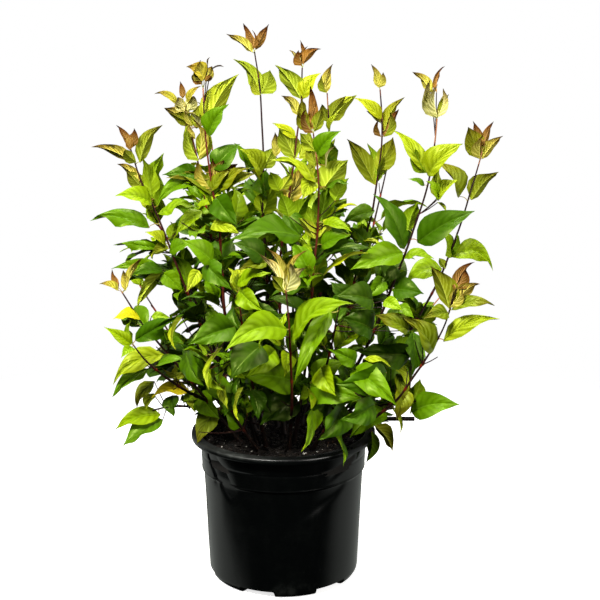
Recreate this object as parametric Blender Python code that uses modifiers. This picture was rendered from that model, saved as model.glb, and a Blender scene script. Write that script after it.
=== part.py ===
# Potted red twig dogwood: a leafy shrub of many canes in a round nursery pot.
# Metres, +Z up. The origin is the centre of the pot's flat underside, and the front is towards -Y.

import math
import random

import bmesh
import bpy
from mathutils import Vector
from mathutils.bvhtree import BVHTree
from mathutils.kdtree import KDTree

# Pot
POT_HEIGHT = 0.204
RIM_RADIUS = 0.125
RIM_THICKNESS = 0.0024
RIM_ROUNDING = 0.0028
LIP_DEPTH = 0.0075
WALL = 0.0018
FLOOR = 0.0025
LEDGE_HEIGHT = 0.153
LEDGE_STEP = 0.0024
BODY_TOP_RADIUS = 0.1134
BODY_FOOT_RADIUS = 0.1027
FOOT_ROUNDING = 0.010
DRAIN_SLOTS = 6
DRAIN_SLOT_WIDTH = 0.042
DRAIN_SLOT_HEIGHT = 0.005
DRAIN_SLOT_REACH = 0.010
SLOT_CUTTER_LENGTH = 0.013
FIRST_SLOT_ANGLE = math.radians(-110)
TURNING_STEPS = 36

# Potting mix
MIX_TOP = 0.192

# Clearance between pieces that touch
GAP = 0.0003

# Limbs
PATH_STEPS = 200
HEADING_STEP = 0.002
LIMB_STEP = 0.045
ROOT_FLARE = 1.45
UPRIGHT_FOOT = 0.008
LEADER_RADIUS = 0.0022
TWIG_RADIUS = 0.0016
TIP_RADIUS = 0.0013

# Side twigs
TWIG_CHANCE = 0.66
TWIGS_END = 0.76
TWIG_LENGTHS = (0.55, 0.95)
TWIGS_SHRINK = 0.4
TWIG_LIFTS = (0.5, 1.0)
TWIG_SKEW = 0.3

# Leaves
LEAF_SUNK = 0.0004
LEAF_WIDTH_SHARE = 0.62
LEAF_WIDEST = 0.44
LEAF_ARCH_SHARE = 0.05
LEAF_FOLD_SHARE = 0.09
LEAF_THICKNESS_SHARE = 0.03
LEAF_TRIES = ((1, 0), (0.85, 0.15), (0.85, -0.2), (0.72, 0.3), (0.62, 0))
SHRINKS_TO_TIP = 0.52
PAIR_LIFT = 0.13
LOW_PAIR_LIFT = -0.12
TIP_PAIR_LIFT = 0.7
LOW_CANE = 0.42
TIP_LEAF_WIDTH_SHARE = 0.4
INTERNODE = 0.047
TIP_INTERNODE = 0.034
FIRST_PAIR = 0.016
PAIR_SKEW = 0.25
LIFT_SPREAD = 0.15

# The two crossed pairs of leaves at every tip: how far back each is rooted,
# how far it splays, and its share of the largest leaf
TIP_PAIRS = ((0.012, 0.75, 0.5), (0.003, 0.42, 0.55))

# Leaves on a side twig: places along it, and shares of the largest leaf
TWIG_PAIR_AT = 0.7
TWIG_PAIR_SHARES = (0.68, 0.8)
TWIG_PAIR_LIFTS = (0.5, 0.9)
TWIG_TIP_AT = 0.97
TWIG_TIP_SHARE = 0.7

# Room around every twig and leaf
SPACE_MARGIN = 0.0015
SPACE_STEP = 0.008
CLEAR_OF_LIMBS = 0.0016
ROOT_LENGTH = 0.006

# One row for each cane that rises from the potting mix. Lengths are in millimetres:
# foot (x, y), a point the cane passes, tip, height where its leaves start,
# radius at the foot, largest leaf, and the bearing in degrees of its first pair of leaves.
CANES = {
    "left_tall": ((-44, -14), (-128, -20, 400), (-197, -20, 588), 300, 3.4, 76, 10),
    "left_crown": ((-38, 22), (-86, 42, 375), (-138, 60, 636), 360, 3.4, 76, 60),
    "front_left_spire": ((-34, -34), (-78, -52, 430), (-96, -55, 668), 370, 3.2, 76, 20),
    "top": ((-8, 38), (-28, 78, 480), (-36, 98, 716), 385, 3.6, 74, 95),
    "centre": ((2, 4), (0, 20, 440), (24, 28, 692), 360, 3.8, 82, 30),
    "front_centre": ((14, -26), (41, -58, 430), (38, -66, 640), 310, 3.3, 76, 70),
    "back_spire": ((26, 46), (60, 112, 470), (65, 128, 658), 400, 3.3, 74, 15),
    "right_centre": ((42, 2), (108, 20, 450), (124, 20, 662), 345, 3.5, 80, 50),
    "right_tall": ((34, -26), (134, -46, 400), (184, -50, 660), 350, 3.5, 80, 25),
    "right_outer": ((60, 6), (204, 30, 400), (262, 40, 588), 300, 3.6, 78, 80),
    "right_arching": ((58, -32), (166, -98, 305), (228, -118, 435), 255, 3.2, 86, 35),
    "front_pale": ((8, -56), (12, -152, 372), (6, -172, 458), 262, 3.0, 88, 5),
    "left_arching": ((-56, -30), (-150, -72, 335), (-212, -80, 414), 280, 3.1, 70, 40),
    "left_drooping": ((-62, -14), (-124, -40, 248), (-192, -50, 238), 225, 3.0, 84, 75),
    "front_left_low": ((-32, -56), (-82, -134, 310), (-104, -160, 376), 225, 3.0, 90, 25),
    "front_right_low": ((40, -50), (88, -130, 305), (118, -160, 366), 225, 3.0, 92, 65),
    "front_left_mid": ((-22, -42), (-46, -104, 350), (-58, -124, 452), 250, 3.0, 84, 50),
    "front_right_mid": ((26, -44), (62, -106, 350), (80, -128, 446), 250, 3.0, 86, 20),
    "right_drooping": ((66, -10), (134, -46, 252), (190, -62, 262), 228, 3.0, 88, 10),
    "back_left": ((-26, 50), (-84, 136, 420), (-104, 176, 574), 330, 3.3, 82, 55),
    "back_centre": ((8, 60), (12, 158, 400), (8, 200, 520), 310, 3.3, 82, 20),
    "back_right": ((42, 40), (118, 132, 420), (152, 160, 564), 330, 3.3, 82, 85),
    "side_left_low": ((-58, 22), (-152, 88, 300), (-206, 112, 380), 240, 3.1, 88, 35),
    "side_right_low": ((62, 28), (166, 88, 300), (224, 106, 366), 240, 3.1, 88, 60),
    "rear_left_low": ((-16, 66), (-64, 158, 285), (-80, 198, 322), 225, 3.0, 88, 15),
    "rear_right_low": ((28, 62), (82, 156, 280), (98, 194, 318), 225, 3.0, 88, 50),
}

# Boughs that fork off a cane: parent, height of the fork, then as above from the passing point.
BOUGHS = {
    "left_inner": ("left_tall", 262, (-150, 44, 440), (-188, 60, 510), 350, 2.6, 76, 30),
    "left_low": ("left_arching", 262, (-150, -112, 318), (-182, -136, 366), 285, 2.4, 70, 65),
}

# A cane pruned off short: its foot in millimetres, the points it passes, and its radius.
PRUNED_FOOT = (78, 0)
PRUNED_ROUTE = ((78, 0, 204), (96, -2, 216), (132, -6, 222), (177, -10, 223))
PRUNED_RADIUS = 0.003

COLOURS = {
    "pot": ((0.010, 0.010, 0.011), 0.28),
    "mix": ((0.020, 0.013, 0.009), 0.95),
    "bark": ((0.13, 0.028, 0.018), 0.55),
    "leaf": ((0.105, 0.20, 0.012), 0.5),
}


def clear_scene():
    for obj in list(bpy.data.objects):
        bpy.data.objects.remove(obj)


def new_collection(name):
    collection = bpy.data.collections.new(name)
    bpy.context.scene.collection.children.link(collection)
    return collection


def material(name, kind):
    colour, roughness = COLOURS[kind]
    made = bpy.data.materials.new(name)
    made.use_nodes = True
    shader = made.node_tree.nodes["Principled BSDF"]
    shader.inputs["Base Color"].default_value = (*colour, 1)
    shader.inputs["Roughness"].default_value = roughness
    shader.inputs["Metallic"].default_value = 0
    return made


def mm(*values):
    return Vector(value / 1000 for value in values)


def link_mesh(name, verts, edges, faces, collection):
    mesh = bpy.data.meshes.new(name)
    mesh.from_pydata(verts, edges, faces)
    obj = bpy.data.objects.new(name, mesh)
    collection.objects.link(obj)
    return obj


def smooth(obj):
    obj.data.shade_smooth()
    obj.data.set_sharp_from_angle(angle=math.radians(35))


def evaluated_mesh(obj):
    graph = bpy.context.evaluated_depsgraph_get()
    return bpy.data.meshes.new_from_object(obj.evaluated_get(graph))


def apply_modifiers(obj):
    mesh = evaluated_mesh(obj)
    obj.modifiers.clear()
    obj.data = mesh


# Pot and potting mix


def wall_radius(height):
    """Outer radius of the pot's body: two gentle tapers with the stacking ledge between them."""
    taper = (BODY_TOP_RADIUS - LEDGE_STEP - BODY_FOOT_RADIUS) / POT_HEIGHT
    radius = BODY_FOOT_RADIUS + taper * height
    return radius + LEDGE_STEP if height > LEDGE_HEIGHT else radius


def turned(name, profile, collection):
    """A solid turned from a profile whose outer side runs from top to bottom."""
    verts = [(radius, 0, height) for radius, height in profile]
    edges = [(i, i + 1) for i in range(len(verts) - 1)]
    obj = link_mesh(name, verts, edges, [], collection)
    screw = obj.modifiers.new("turn", "SCREW")
    screw.steps = screw.render_steps = TURNING_STEPS
    screw.use_merge_vertices = True
    screw.merge_threshold = 0.0001
    screw.use_smooth_shade = True
    return obj


def rounding(radius, size, steps, inset=0.0):
    """Points round the pot's foot, from its side down to its underside."""
    reach = size - inset
    for step in range(steps + 1):
        turn = math.pi / 2 * step / steps
        yield radius - size + reach * math.cos(turn), size - reach * math.sin(turn)


def pot_profile():
    """The pot's section: up inside from the floor, over the rim and lip, and down outside."""
    above_ledge = LEDGE_HEIGHT + WALL
    foot_radius = wall_radius(FOOT_ROUNDING)
    inside = [(0, FLOOR)]
    inner_foot = list(rounding(foot_radius, FOOT_ROUNDING, 2, WALL))
    inside += [(radius, max(height, FLOOR)) for radius, height in reversed(inner_foot)]
    inside += [
        (wall_radius(LEDGE_HEIGHT) - WALL, LEDGE_HEIGHT - WALL),
        (wall_radius(above_ledge) - WALL, above_ledge),
        (wall_radius(POT_HEIGHT) - WALL, POT_HEIGHT - RIM_ROUNDING / 3),
        (wall_radius(POT_HEIGHT) - WALL / 2, POT_HEIGHT),
    ]
    rim = [
        (RIM_RADIUS - RIM_ROUNDING, POT_HEIGHT),
        (RIM_RADIUS - RIM_ROUNDING * 0.3, POT_HEIGHT - RIM_ROUNDING * 0.3),
        (RIM_RADIUS, POT_HEIGHT - RIM_ROUNDING),
        (RIM_RADIUS, POT_HEIGHT - LIP_DEPTH),
        (RIM_RADIUS - WALL, POT_HEIGHT - LIP_DEPTH),
        (RIM_RADIUS - WALL, POT_HEIGHT - RIM_THICKNESS),
    ]
    outside = [
        (wall_radius(POT_HEIGHT), POT_HEIGHT - RIM_THICKNESS),
        (wall_radius(above_ledge), above_ledge),
        (wall_radius(LEDGE_HEIGHT), LEDGE_HEIGHT - WALL / 2),
    ]
    outside += rounding(foot_radius, FOOT_ROUNDING, 4)
    outside += [(0, 0)]
    return inside + rim + outside


def make_pot(parts, cutters):
    pot = turned("pot", pot_profile(), parts)
    slots = bpy.data.collections.new("drain_slots")
    cutters.children.link(slots)
    slots.hide_render = True
    for number in range(DRAIN_SLOTS):
        angle = FIRST_SLOT_ANGLE + math.tau * number / DRAIN_SLOTS
        middle = BODY_FOOT_RADIUS - DRAIN_SLOT_REACH + SLOT_CUTTER_LENGTH / 2
        bpy.ops.mesh.primitive_cube_add(
            size=1,
            location=(middle * math.cos(angle), middle * math.sin(angle), 0),
            rotation=(0, 0, angle),
            scale=(SLOT_CUTTER_LENGTH, DRAIN_SLOT_WIDTH, DRAIN_SLOT_HEIGHT * 2),
        )
        slot = bpy.context.object
        slot.name = f"drain_slot_{number + 1}"
        slot.hide_render = True
        slot.display_type = "WIRE"
        for old in slot.users_collection:
            old.objects.unlink(slot)
        slots.objects.link(slot)
    cut = pot.modifiers.new("drain_slots", "BOOLEAN")
    cut.operation = "DIFFERENCE"
    cut.operand_type = "COLLECTION"
    cut.collection = slots
    cut.solver = "EXACT"
    pot.data.materials.append(material("pot_plastic", "pot"))
    return pot


def make_mix(parts):
    inset = WALL + GAP
    foot = rounding(wall_radius(FOOT_ROUNDING), FOOT_ROUNDING, 2, inset)
    profile = [
        (0, MIX_TOP),
        (wall_radius(MIX_TOP) - inset, MIX_TOP),
        (wall_radius(LEDGE_HEIGHT + WALL) - inset, LEDGE_HEIGHT + WALL),
        (wall_radius(LEDGE_HEIGHT) - inset, LEDGE_HEIGHT - WALL),
    ]
    profile += [(radius, max(height, FLOOR + GAP)) for radius, height in foot]
    profile += [(0, FLOOR + GAP)]
    mix = turned("potting_mix", profile, parts)
    mix.data.materials.append(material("potting_mix", "mix"))
    return mix


# Limbs


class Path:
    """A limb's centre line: a parabola from its foot through a passing point to its tip."""

    def __init__(self, foot, passing, tip):
        share = (passing - foot).length
        share /= share + (tip - passing).length
        pull = passing - foot * (1 - share) ** 2 - tip * share**2
        self.foot = foot
        self.bend = pull / (2 * share * (1 - share))
        self.tip = tip
        points = [self.at(i / PATH_STEPS) for i in range(PATH_STEPS + 1)]
        self.runs = [0.0]
        for first, second in zip(points, points[1:]):
            self.runs.append(self.runs[-1] + (second - first).length)
        self.length = self.runs[-1]

    def at(self, t):
        return self.foot * (1 - t) ** 2 + self.bend * (2 * t * (1 - t)) + self.tip * t**2

    def along(self, distance):
        """The point this far from the foot, measured along the limb."""
        wanted = min(max(distance, 0.0), self.length)
        for i in range(PATH_STEPS):
            if self.runs[i + 1] >= wanted:
                part = (wanted - self.runs[i]) / (self.runs[i + 1] - self.runs[i])
                return self.at((i + part) / PATH_STEPS)
        return self.tip.copy()

    def heading(self, distance):
        """The direction of growth at this distance."""
        ahead = self.along(distance + HEADING_STEP) - self.along(distance - HEADING_STEP)
        return ahead.normalized()

    def distance_at_height(self, height):
        """How far along the limb first rises to this height."""
        for i in range(PATH_STEPS):
            if self.at((i + 1) / PATH_STEPS).z >= height:
                return self.runs[i]
        return self.length / 2


def tube(name, points, radii, sides, collection):
    """A closed tapering tube along points, made from a bevelled curve with welded caps."""
    ring = bpy.data.curves.new("ring", "CURVE")
    ring.dimensions = "2D"
    spline = ring.splines.new("POLY")
    spline.points.add(sides - 1)
    for number, point in enumerate(spline.points):
        turn = -math.tau * number / sides
        point.co = (math.cos(turn), math.sin(turn), 0, 1)
    spline.use_cyclic_u = True
    ring_object = bpy.data.objects.new("ring", ring)
    collection.objects.link(ring_object)

    curve = bpy.data.curves.new(name, "CURVE")
    curve.dimensions = "3D"
    curve.bevel_mode = "OBJECT"
    curve.bevel_object = ring_object
    curve.use_fill_caps = True
    spline = curve.splines.new("POLY")
    spline.points.add(len(points) - 1)
    for point, place, radius in zip(spline.points, points, radii):
        point.co = (*place, 1)
        point.radius = radius
    curve_object = bpy.data.objects.new(name, curve)
    collection.objects.link(curve_object)
    mesh = evaluated_mesh(curve_object)
    for obj, data in ((curve_object, curve), (ring_object, ring)):
        bpy.data.objects.remove(obj)
        bpy.data.curves.remove(data)

    shape = bmesh.new()
    shape.from_mesh(mesh)
    bmesh.ops.remove_doubles(shape, verts=shape.verts, dist=1e-6)
    bmesh.ops.recalc_face_normals(shape, faces=shape.faces)
    shape.to_mesh(mesh)
    shape.free()
    obj = bpy.data.objects.new(name, mesh)
    collection.objects.link(obj)
    return obj


def limb(name, path, start, end, foot_radius, collection, upright=False):
    """The bare length of a cane or bough, from one distance along its path to another."""
    count = max(3, round((end - start) / LIMB_STEP))
    points = [path.along(start + (end - start) * i / count) for i in range(count + 1)]
    radii = [foot_radius + (LEADER_RADIUS - foot_radius) * i / count for i in range(count + 1)]
    if upright:
        foot = points[0]
        points[1:1] = [foot + Vector((0, 0, UPRIGHT_FOOT))]
        radii[1:1] = [radii[0]]
        radii[0] *= ROOT_FLARE
    obj = tube(name, points, radii, 6, collection)
    obj.data.materials.append(material(f"{name}_bark", "bark"))
    smooth(obj)
    return obj


# Growth of one foliage mass


class Mass:
    """A leader, its side twigs and its leaves, all worked out before any mesh is joined."""

    def __init__(self, name, path, start, leaf_size, bearing, number):
        self.name = name
        self.path = path
        self.start = start
        self.leaf_size = leaf_size
        self.bearing = math.radians(bearing)
        self.chance = random.Random(7100 + number)
        self.twigs = []
        self.leaves = []
        self.solids = []
        self.own = None

    def stations(self):
        """Distance along the leader, and share of it, of each leaf pair: closer near the tip."""
        distance = self.start + FIRST_PAIR
        while distance < self.path.length - TIP_INTERNODE:
            share = (distance - self.start) / (self.path.length - self.start)
            yield distance, share
            distance += INTERNODE + (TIP_INTERNODE - INTERNODE) * share


def bearing_frame(heading, bearing):
    """A level direction of this bearing, turned square to the limb's heading."""
    level = Vector((math.cos(bearing), math.sin(bearing), 0))
    square = level - heading * level.dot(heading)
    return square.normalized()


def leaf_shape(root, along, up, length, width, swell=0.0):
    """Six corners and eight faces: a blade folded along its arched midrib, pointed at both ends."""
    side = up.cross(along).normalized()
    upper = along.cross(side).normalized()
    middle = root + along * (length * LEAF_WIDEST) + upper * (length * LEAF_ARCH_SHARE)
    edge = middle + upper * (length * LEAF_FOLD_SHARE)
    half_width = side * (width / 2 + swell)
    half_thickness = upper * (length * LEAF_THICKNESS_SHARE / 2 + swell)
    verts = [
        root - along * LEAF_SUNK,
        edge + half_width,
        root + along * (length + swell),
        edge - half_width,
        middle + half_thickness,
        middle - half_thickness,
    ]
    rim = (0, 3, 2, 1)
    faces = []
    for first, second in zip(rim, rim[1:] + rim[:1]):
        faces += [(first, second, 4), (second, first, 5)]
    return verts, faces


def box_of(verts):
    low = [min(v[i] for v in verts) for i in range(3)]
    high = [max(v[i] for v in verts) for i in range(3)]
    return low, high


def boxes_apart(first, second):
    return any(first[0][i] > second[1][i] or second[0][i] > first[1][i] for i in range(3))


class Room:
    """What is already standing: the limbs and pot, and each mass's own space and solids."""

    def __init__(self, limbs, masses):
        self.limbs = limbs
        self.masses = masses

    def settle_spaces(self):
        """A mass's own space is whatever lies nearer to its leader and twigs than to others'."""
        for mass in self.masses:
            points = []
            reach = mass.start
            while reach <= mass.path.length:
                points.append(mass.path.along(reach))
                reach += SPACE_STEP
            for first, last in mass.twigs:
                points += [first.lerp(last, i / 6) for i in range(1, 7)]
            mass.own = KDTree(len(points))
            for number, point in enumerate(points):
                mass.own.insert(point, number)
            mass.own.balance()

    def in_own_space(self, mass, point):
        nearest = mass.own.find(point)[2] + SPACE_MARGIN
        return all(
            other is mass or other.own.find(point)[2] > nearest for other in self.masses
        )

    def is_clear(self, mass, verts, faces):
        """True where a slightly swollen copy touches no limb, no pot and no other mass."""
        tree = BVHTree.FromPolygons(verts, faces)
        if any(tree.overlap(limb_tree) for limb_tree in self.limbs):
            return False
        box = box_of(verts)
        for other in self.masses:
            if other is mass:
                continue
            for other_box, other_tree, _ in other.solids:
                if not boxes_apart(box, other_box) and tree.overlap(other_tree):
                    return False
        return True

    def is_apart(self, mass, verts, faces):
        """True where a blade or twig, past its root, crosses nothing of its own mass."""
        tree = BVHTree.FromPolygons(verts, faces)
        box = box_of(verts)
        for own_box, _, own_tree in mass.solids:
            if not boxes_apart(box, own_box) and tree.overlap(own_tree):
                return False
        return True


def prism(first, last, radius):
    """A three-sided straight twig as corners and faces, for testing what it would touch."""
    heading = (last - first).normalized()
    side = heading.orthogonal().normalized()
    other = heading.cross(side)
    ring = [
        side * (radius * math.cos(math.tau * i / 3)) + other * (radius * math.sin(math.tau * i / 3))
        for i in range(3)
    ]
    verts = [first + r for r in ring] + [last + r for r in ring]
    faces = [(0, 1, 4, 3), (1, 2, 5, 4), (2, 0, 3, 5), (0, 2, 1), (3, 4, 5)]
    return verts, faces


def stand_leader(mass):
    """The leader's straight stretches take their room before any twig or leaf does."""
    points = leader_points(mass)
    for first, last in zip(points, points[1:]):
        swollen = prism(first, last, LEADER_RADIUS + CLEAR_OF_LIMBS)
        bare = BVHTree.FromPolygons(*prism(first, last, LEADER_RADIUS))
        mass.solids.append((box_of(swollen[0]), BVHTree.FromPolygons(*swollen), bare))


def leader_points(mass):
    start = mass.start + GAP
    span = mass.path.length - start
    count = max(4, round(span / LIMB_STEP))
    return [mass.path.along(start + span * i / count) for i in range(count + 1)]


def grow_twigs(mass, room):
    """Side twigs leave every other pair of leaves, by turns to either side."""
    for number, (distance, share) in enumerate(mass.stations()):
        if number % 2 or share > TWIGS_END:
            continue
        heading = mass.path.heading(distance)
        bearing = mass.bearing + number * math.pi / 2 + mass.chance.uniform(-TWIG_SKEW, TWIG_SKEW)
        for turn in (0.0, math.pi):
            if mass.chance.random() > TWIG_CHANCE:
                continue
            outwards = bearing_frame(heading, bearing + turn)
            lift = mass.chance.uniform(*TWIG_LIFTS)
            length = mass.leaf_size * mass.chance.uniform(*TWIG_LENGTHS)
            length *= 1 - TWIGS_SHRINK * share
            foot = mass.path.along(distance)
            tip = foot + (outwards + heading * lift).normalized() * length
            if not all(room.in_own_space(mass, foot.lerp(tip, part)) for part in (0.6, 1.0)):
                continue
            verts, faces = prism(foot, tip, TWIG_RADIUS + CLEAR_OF_LIMBS)
            if room.is_clear(mass, verts, faces):
                past_root = foot + (tip - foot).normalized() * ROOT_LENGTH
                bare = BVHTree.FromPolygons(*prism(past_root, tip, TWIG_RADIUS))
                mass.twigs.append((foot, tip))
                mass.solids.append((box_of(verts), BVHTree.FromPolygons(verts, faces), bare))


def add_leaf(mass, room, root, along, length, width_share=LEAF_WIDTH_SHARE):
    """Tries a leaf at full size, then smaller and turned up or down, and skips it if none fits."""
    up = Vector((0, 0, 1)) if abs(along.z) < 0.95 else along.orthogonal()
    for share, lift in LEAF_TRIES:
        reach = length * share
        way = (along + Vector((0, 0, lift))).normalized()
        width = reach * width_share
        verts, faces = leaf_shape(root, way, up, reach, width)
        if not all(room.in_own_space(mass, vert) for vert in verts[1:]):
            continue
        past_root = root + way * ROOT_LENGTH
        blade, faces = leaf_shape(past_root, way, up, reach - ROOT_LENGTH, width)
        swollen, faces = leaf_shape(root, way, up, reach, width, CLEAR_OF_LIMBS)
        if not room.is_apart(mass, blade, faces) or not room.is_clear(mass, swollen, faces):
            continue
        bare = BVHTree.FromPolygons(blade, faces)
        mass.solids.append((box_of(swollen), BVHTree.FromPolygons(swollen, faces), bare))
        mass.leaves.append((verts, faces))
        return


def grow_leaves(mass, room):
    """A cluster at the tip, pairs down the leader, each square to the last, then the twigs'."""
    heading = mass.path.heading(mass.path.length)
    for turn in range(4):
        back, splay, share = TIP_PAIRS[turn % 2]
        root = mass.path.along(mass.path.length - back)
        outwards = bearing_frame(heading, mass.bearing + turn * math.pi / 2)
        along = (heading + outwards * splay).normalized()
        add_leaf(mass, room, root, along, mass.leaf_size * share, TIP_LEAF_WIDTH_SHARE)
    base_lift = LOW_PAIR_LIFT if mass.path.tip.z < LOW_CANE else PAIR_LIFT
    for number, (distance, share) in enumerate(mass.stations()):
        heading = mass.path.heading(distance)
        bearing = mass.bearing + number * math.pi / 2
        size = mass.leaf_size * (1 - SHRINKS_TO_TIP * share**1.6)
        for turn in (0.0, math.pi):
            skew = mass.chance.uniform(-PAIR_SKEW, PAIR_SKEW)
            outwards = bearing_frame(heading, bearing + turn + skew)
            lift = base_lift + TIP_PAIR_LIFT * share
            lift += mass.chance.uniform(-LIFT_SPREAD, LIFT_SPREAD)
            along = (outwards + heading * lift).normalized()
            length = size * mass.chance.uniform(0.88, 1.05)
            add_leaf(mass, room, mass.path.along(distance), along, length)
    for foot, tip in mass.twigs:
        heading = (tip - foot).normalized()
        bearing = mass.chance.uniform(0, math.pi)
        for turn in (0.0, math.pi):
            outwards = bearing_frame(heading, bearing + turn)
            lift = mass.chance.uniform(*TWIG_PAIR_LIFTS)
            along = (outwards + heading * lift).normalized()
            length = mass.leaf_size * mass.chance.uniform(*TWIG_PAIR_SHARES)
            add_leaf(mass, room, foot.lerp(tip, TWIG_PAIR_AT), along, length)
        root = foot.lerp(tip, TWIG_TIP_AT)
        add_leaf(mass, room, root, heading, mass.leaf_size * TWIG_TIP_SHARE)


def join_mass(mass, parts):
    """One Boolean union of the leader with its twigs and leaves."""
    pieces = bpy.data.collections.new(f"{mass.name}_pieces")
    bpy.context.scene.collection.children.link(pieces)
    points = leader_points(mass)
    count = len(points) - 1
    radii = [LEADER_RADIUS + (TIP_RADIUS - LEADER_RADIUS) * i / count for i in range(count + 1)]
    leader = tube(mass.name, points, radii, 3, parts)
    for number, (foot, tip) in enumerate(mass.twigs):
        tube(f"twig_{number}", (foot, tip), (TWIG_RADIUS, TIP_RADIUS), 3, pieces)
    for number, (verts, faces) in enumerate(mass.leaves):
        link_mesh(f"leaf_{number}", verts, [], faces, pieces)
    join = leader.modifiers.new("join", "BOOLEAN")
    join.operation = "UNION"
    join.operand_type = "COLLECTION"
    join.collection = pieces
    join.solver = "EXACT"
    apply_modifiers(leader)
    for piece in list(pieces.objects):
        mesh = piece.data
        bpy.data.objects.remove(piece)
        bpy.data.meshes.remove(mesh)
    bpy.data.collections.remove(pieces)
    keep_largest(leader.data)
    leader.data.materials.clear()
    leader.data.materials.append(material(f"{mass.name}_leaf", "leaf"))


def keep_largest(mesh):
    """Drops loose scraps and the walls of hollows that joining sealed."""
    shape = bmesh.new()
    shape.from_mesh(mesh)
    left = set(shape.verts)
    groups = []
    while left:
        group = set()
        edge = [left.pop()]
        while edge:
            vert = edge.pop()
            group.add(vert)
            for link in vert.link_edges:
                other = link.other_vert(vert)
                if other in left:
                    left.remove(other)
                    edge.append(other)
        groups.append(group)
    groups.sort(key=len)
    for group in groups[:-1]:
        bmesh.ops.delete(shape, geom=list(group), context="VERTS")
    shape.to_mesh(mesh)
    shape.free()


# Assembly


def tree_of(obj):
    graph = bpy.context.evaluated_depsgraph_get()
    return BVHTree.FromObject(obj, graph)


def bough_start(path, radius, parent_path, parent_radius, distance):
    """How far out a bough's flat foot lies, so that it just clears the cane it forks from."""
    leaving = path.heading(HEADING_STEP * 2)
    rising = parent_path.heading(distance)
    sine = leaving.cross(rising).length
    cosine = abs(leaving.dot(rising))
    return (parent_radius + GAP + radius * cosine) / sine


def make_canes(parts):
    """All the bare limbs, and one unfilled foliage mass above each."""
    limbs = []
    masses = []
    for name, (foot, passing, tip, bare, radius, leaf, bearing) in CANES.items():
        path = Path(Vector((*mm(*foot), MIX_TOP + GAP)), mm(*passing), mm(*tip))
        end = path.distance_at_height(bare / 1000)
        radius /= 1000
        limbs.append(limb(f"stem_{name}", path, 0.0, end, radius, parts, upright=True))
        masses.append(Mass(f"foliage_{name}", path, end, leaf / 1000, bearing, len(masses)))
    for name, (parent, fork, passing, tip, bare, radius, leaf, bearing) in BOUGHS.items():
        parent_mass = masses[list(CANES).index(parent)]
        parent_foot_radius = CANES[parent][4] / 1000
        distance = parent_mass.path.distance_at_height(fork / 1000)
        share = distance / parent_mass.start
        parent_radius = parent_foot_radius + (LEADER_RADIUS - parent_foot_radius) * share
        path = Path(parent_mass.path.along(distance), mm(*passing), mm(*tip))
        radius /= 1000
        start = bough_start(path, radius, parent_mass.path, parent_radius, distance)
        end = path.distance_at_height(bare / 1000)
        limbs.append(limb(f"bough_{name}", path, start, end, radius, parts))
        masses.append(Mass(f"foliage_{name}", path, end, leaf / 1000, bearing, len(masses)))
    return limbs, masses


def make_pruned_cane(parts):
    points = [Vector((*mm(*PRUNED_FOOT), MIX_TOP + GAP))]
    points += [mm(*point) for point in PRUNED_ROUTE]
    pruned = tube("pruned_cane", points, [PRUNED_RADIUS] * len(points), 8, parts)
    pruned.data.materials.append(material("pruned_cane_bark", "bark"))
    smooth(pruned)
    return pruned


def make_foliage(masses, room, parts):
    """Leaders stand first, then twigs, then leaves, so that no mass crowds out another."""
    room.settle_spaces()
    for mass in masses:
        stand_leader(mass)
    for mass in masses:
        grow_twigs(mass, room)
    room.settle_spaces()
    for mass in masses:
        grow_leaves(mass, room)
    for mass in masses:
        join_mass(mass, parts)


def main():
    clear_scene()
    parts = new_collection("potted_red_twig_dogwood")
    cutters = new_collection("cutters")
    pot = make_pot(parts, cutters)
    mix = make_mix(parts)
    limbs, masses = make_canes(parts)
    limbs.append(make_pruned_cane(parts))
    room = Room([tree_of(obj) for obj in [*limbs, pot, mix]], masses)
    make_foliage(masses, room, parts)


main()
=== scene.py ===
import math
import random

import bpy
import numpy as np
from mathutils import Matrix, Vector, noise
from mathutils.bvhtree import BVHTree
from mathutils.kdtree import KDTree


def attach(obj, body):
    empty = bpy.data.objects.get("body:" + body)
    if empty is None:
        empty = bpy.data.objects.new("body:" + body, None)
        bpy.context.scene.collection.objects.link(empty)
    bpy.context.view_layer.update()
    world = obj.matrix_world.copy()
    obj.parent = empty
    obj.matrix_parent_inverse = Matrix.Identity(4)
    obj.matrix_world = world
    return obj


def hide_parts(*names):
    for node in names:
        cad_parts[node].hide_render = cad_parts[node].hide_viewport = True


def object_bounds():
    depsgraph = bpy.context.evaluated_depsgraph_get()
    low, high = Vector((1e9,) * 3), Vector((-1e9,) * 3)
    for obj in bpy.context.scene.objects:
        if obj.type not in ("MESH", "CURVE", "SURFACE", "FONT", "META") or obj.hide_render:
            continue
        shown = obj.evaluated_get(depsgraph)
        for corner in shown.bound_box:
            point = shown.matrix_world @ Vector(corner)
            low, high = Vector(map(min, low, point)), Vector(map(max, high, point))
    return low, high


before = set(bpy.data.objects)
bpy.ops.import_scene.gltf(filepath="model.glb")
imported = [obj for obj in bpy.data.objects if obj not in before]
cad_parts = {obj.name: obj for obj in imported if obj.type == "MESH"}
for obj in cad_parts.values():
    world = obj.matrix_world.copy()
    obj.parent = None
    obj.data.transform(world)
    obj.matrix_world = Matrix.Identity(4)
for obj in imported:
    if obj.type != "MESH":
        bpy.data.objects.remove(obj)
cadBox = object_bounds()

# Metres, +Z up, front of the plant towards -Y.

view = {
    "place": (0.023, -1.60, 0.754),
    "tilt": 77.0,  # degrees from straight down
    "lens": 73.56,
    "sensor": 36,
}
focal = view["lens"] / view["sensor"] * 600  # in points of a picture 600 wide
dip = math.radians(90 - view["tilt"])

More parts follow.
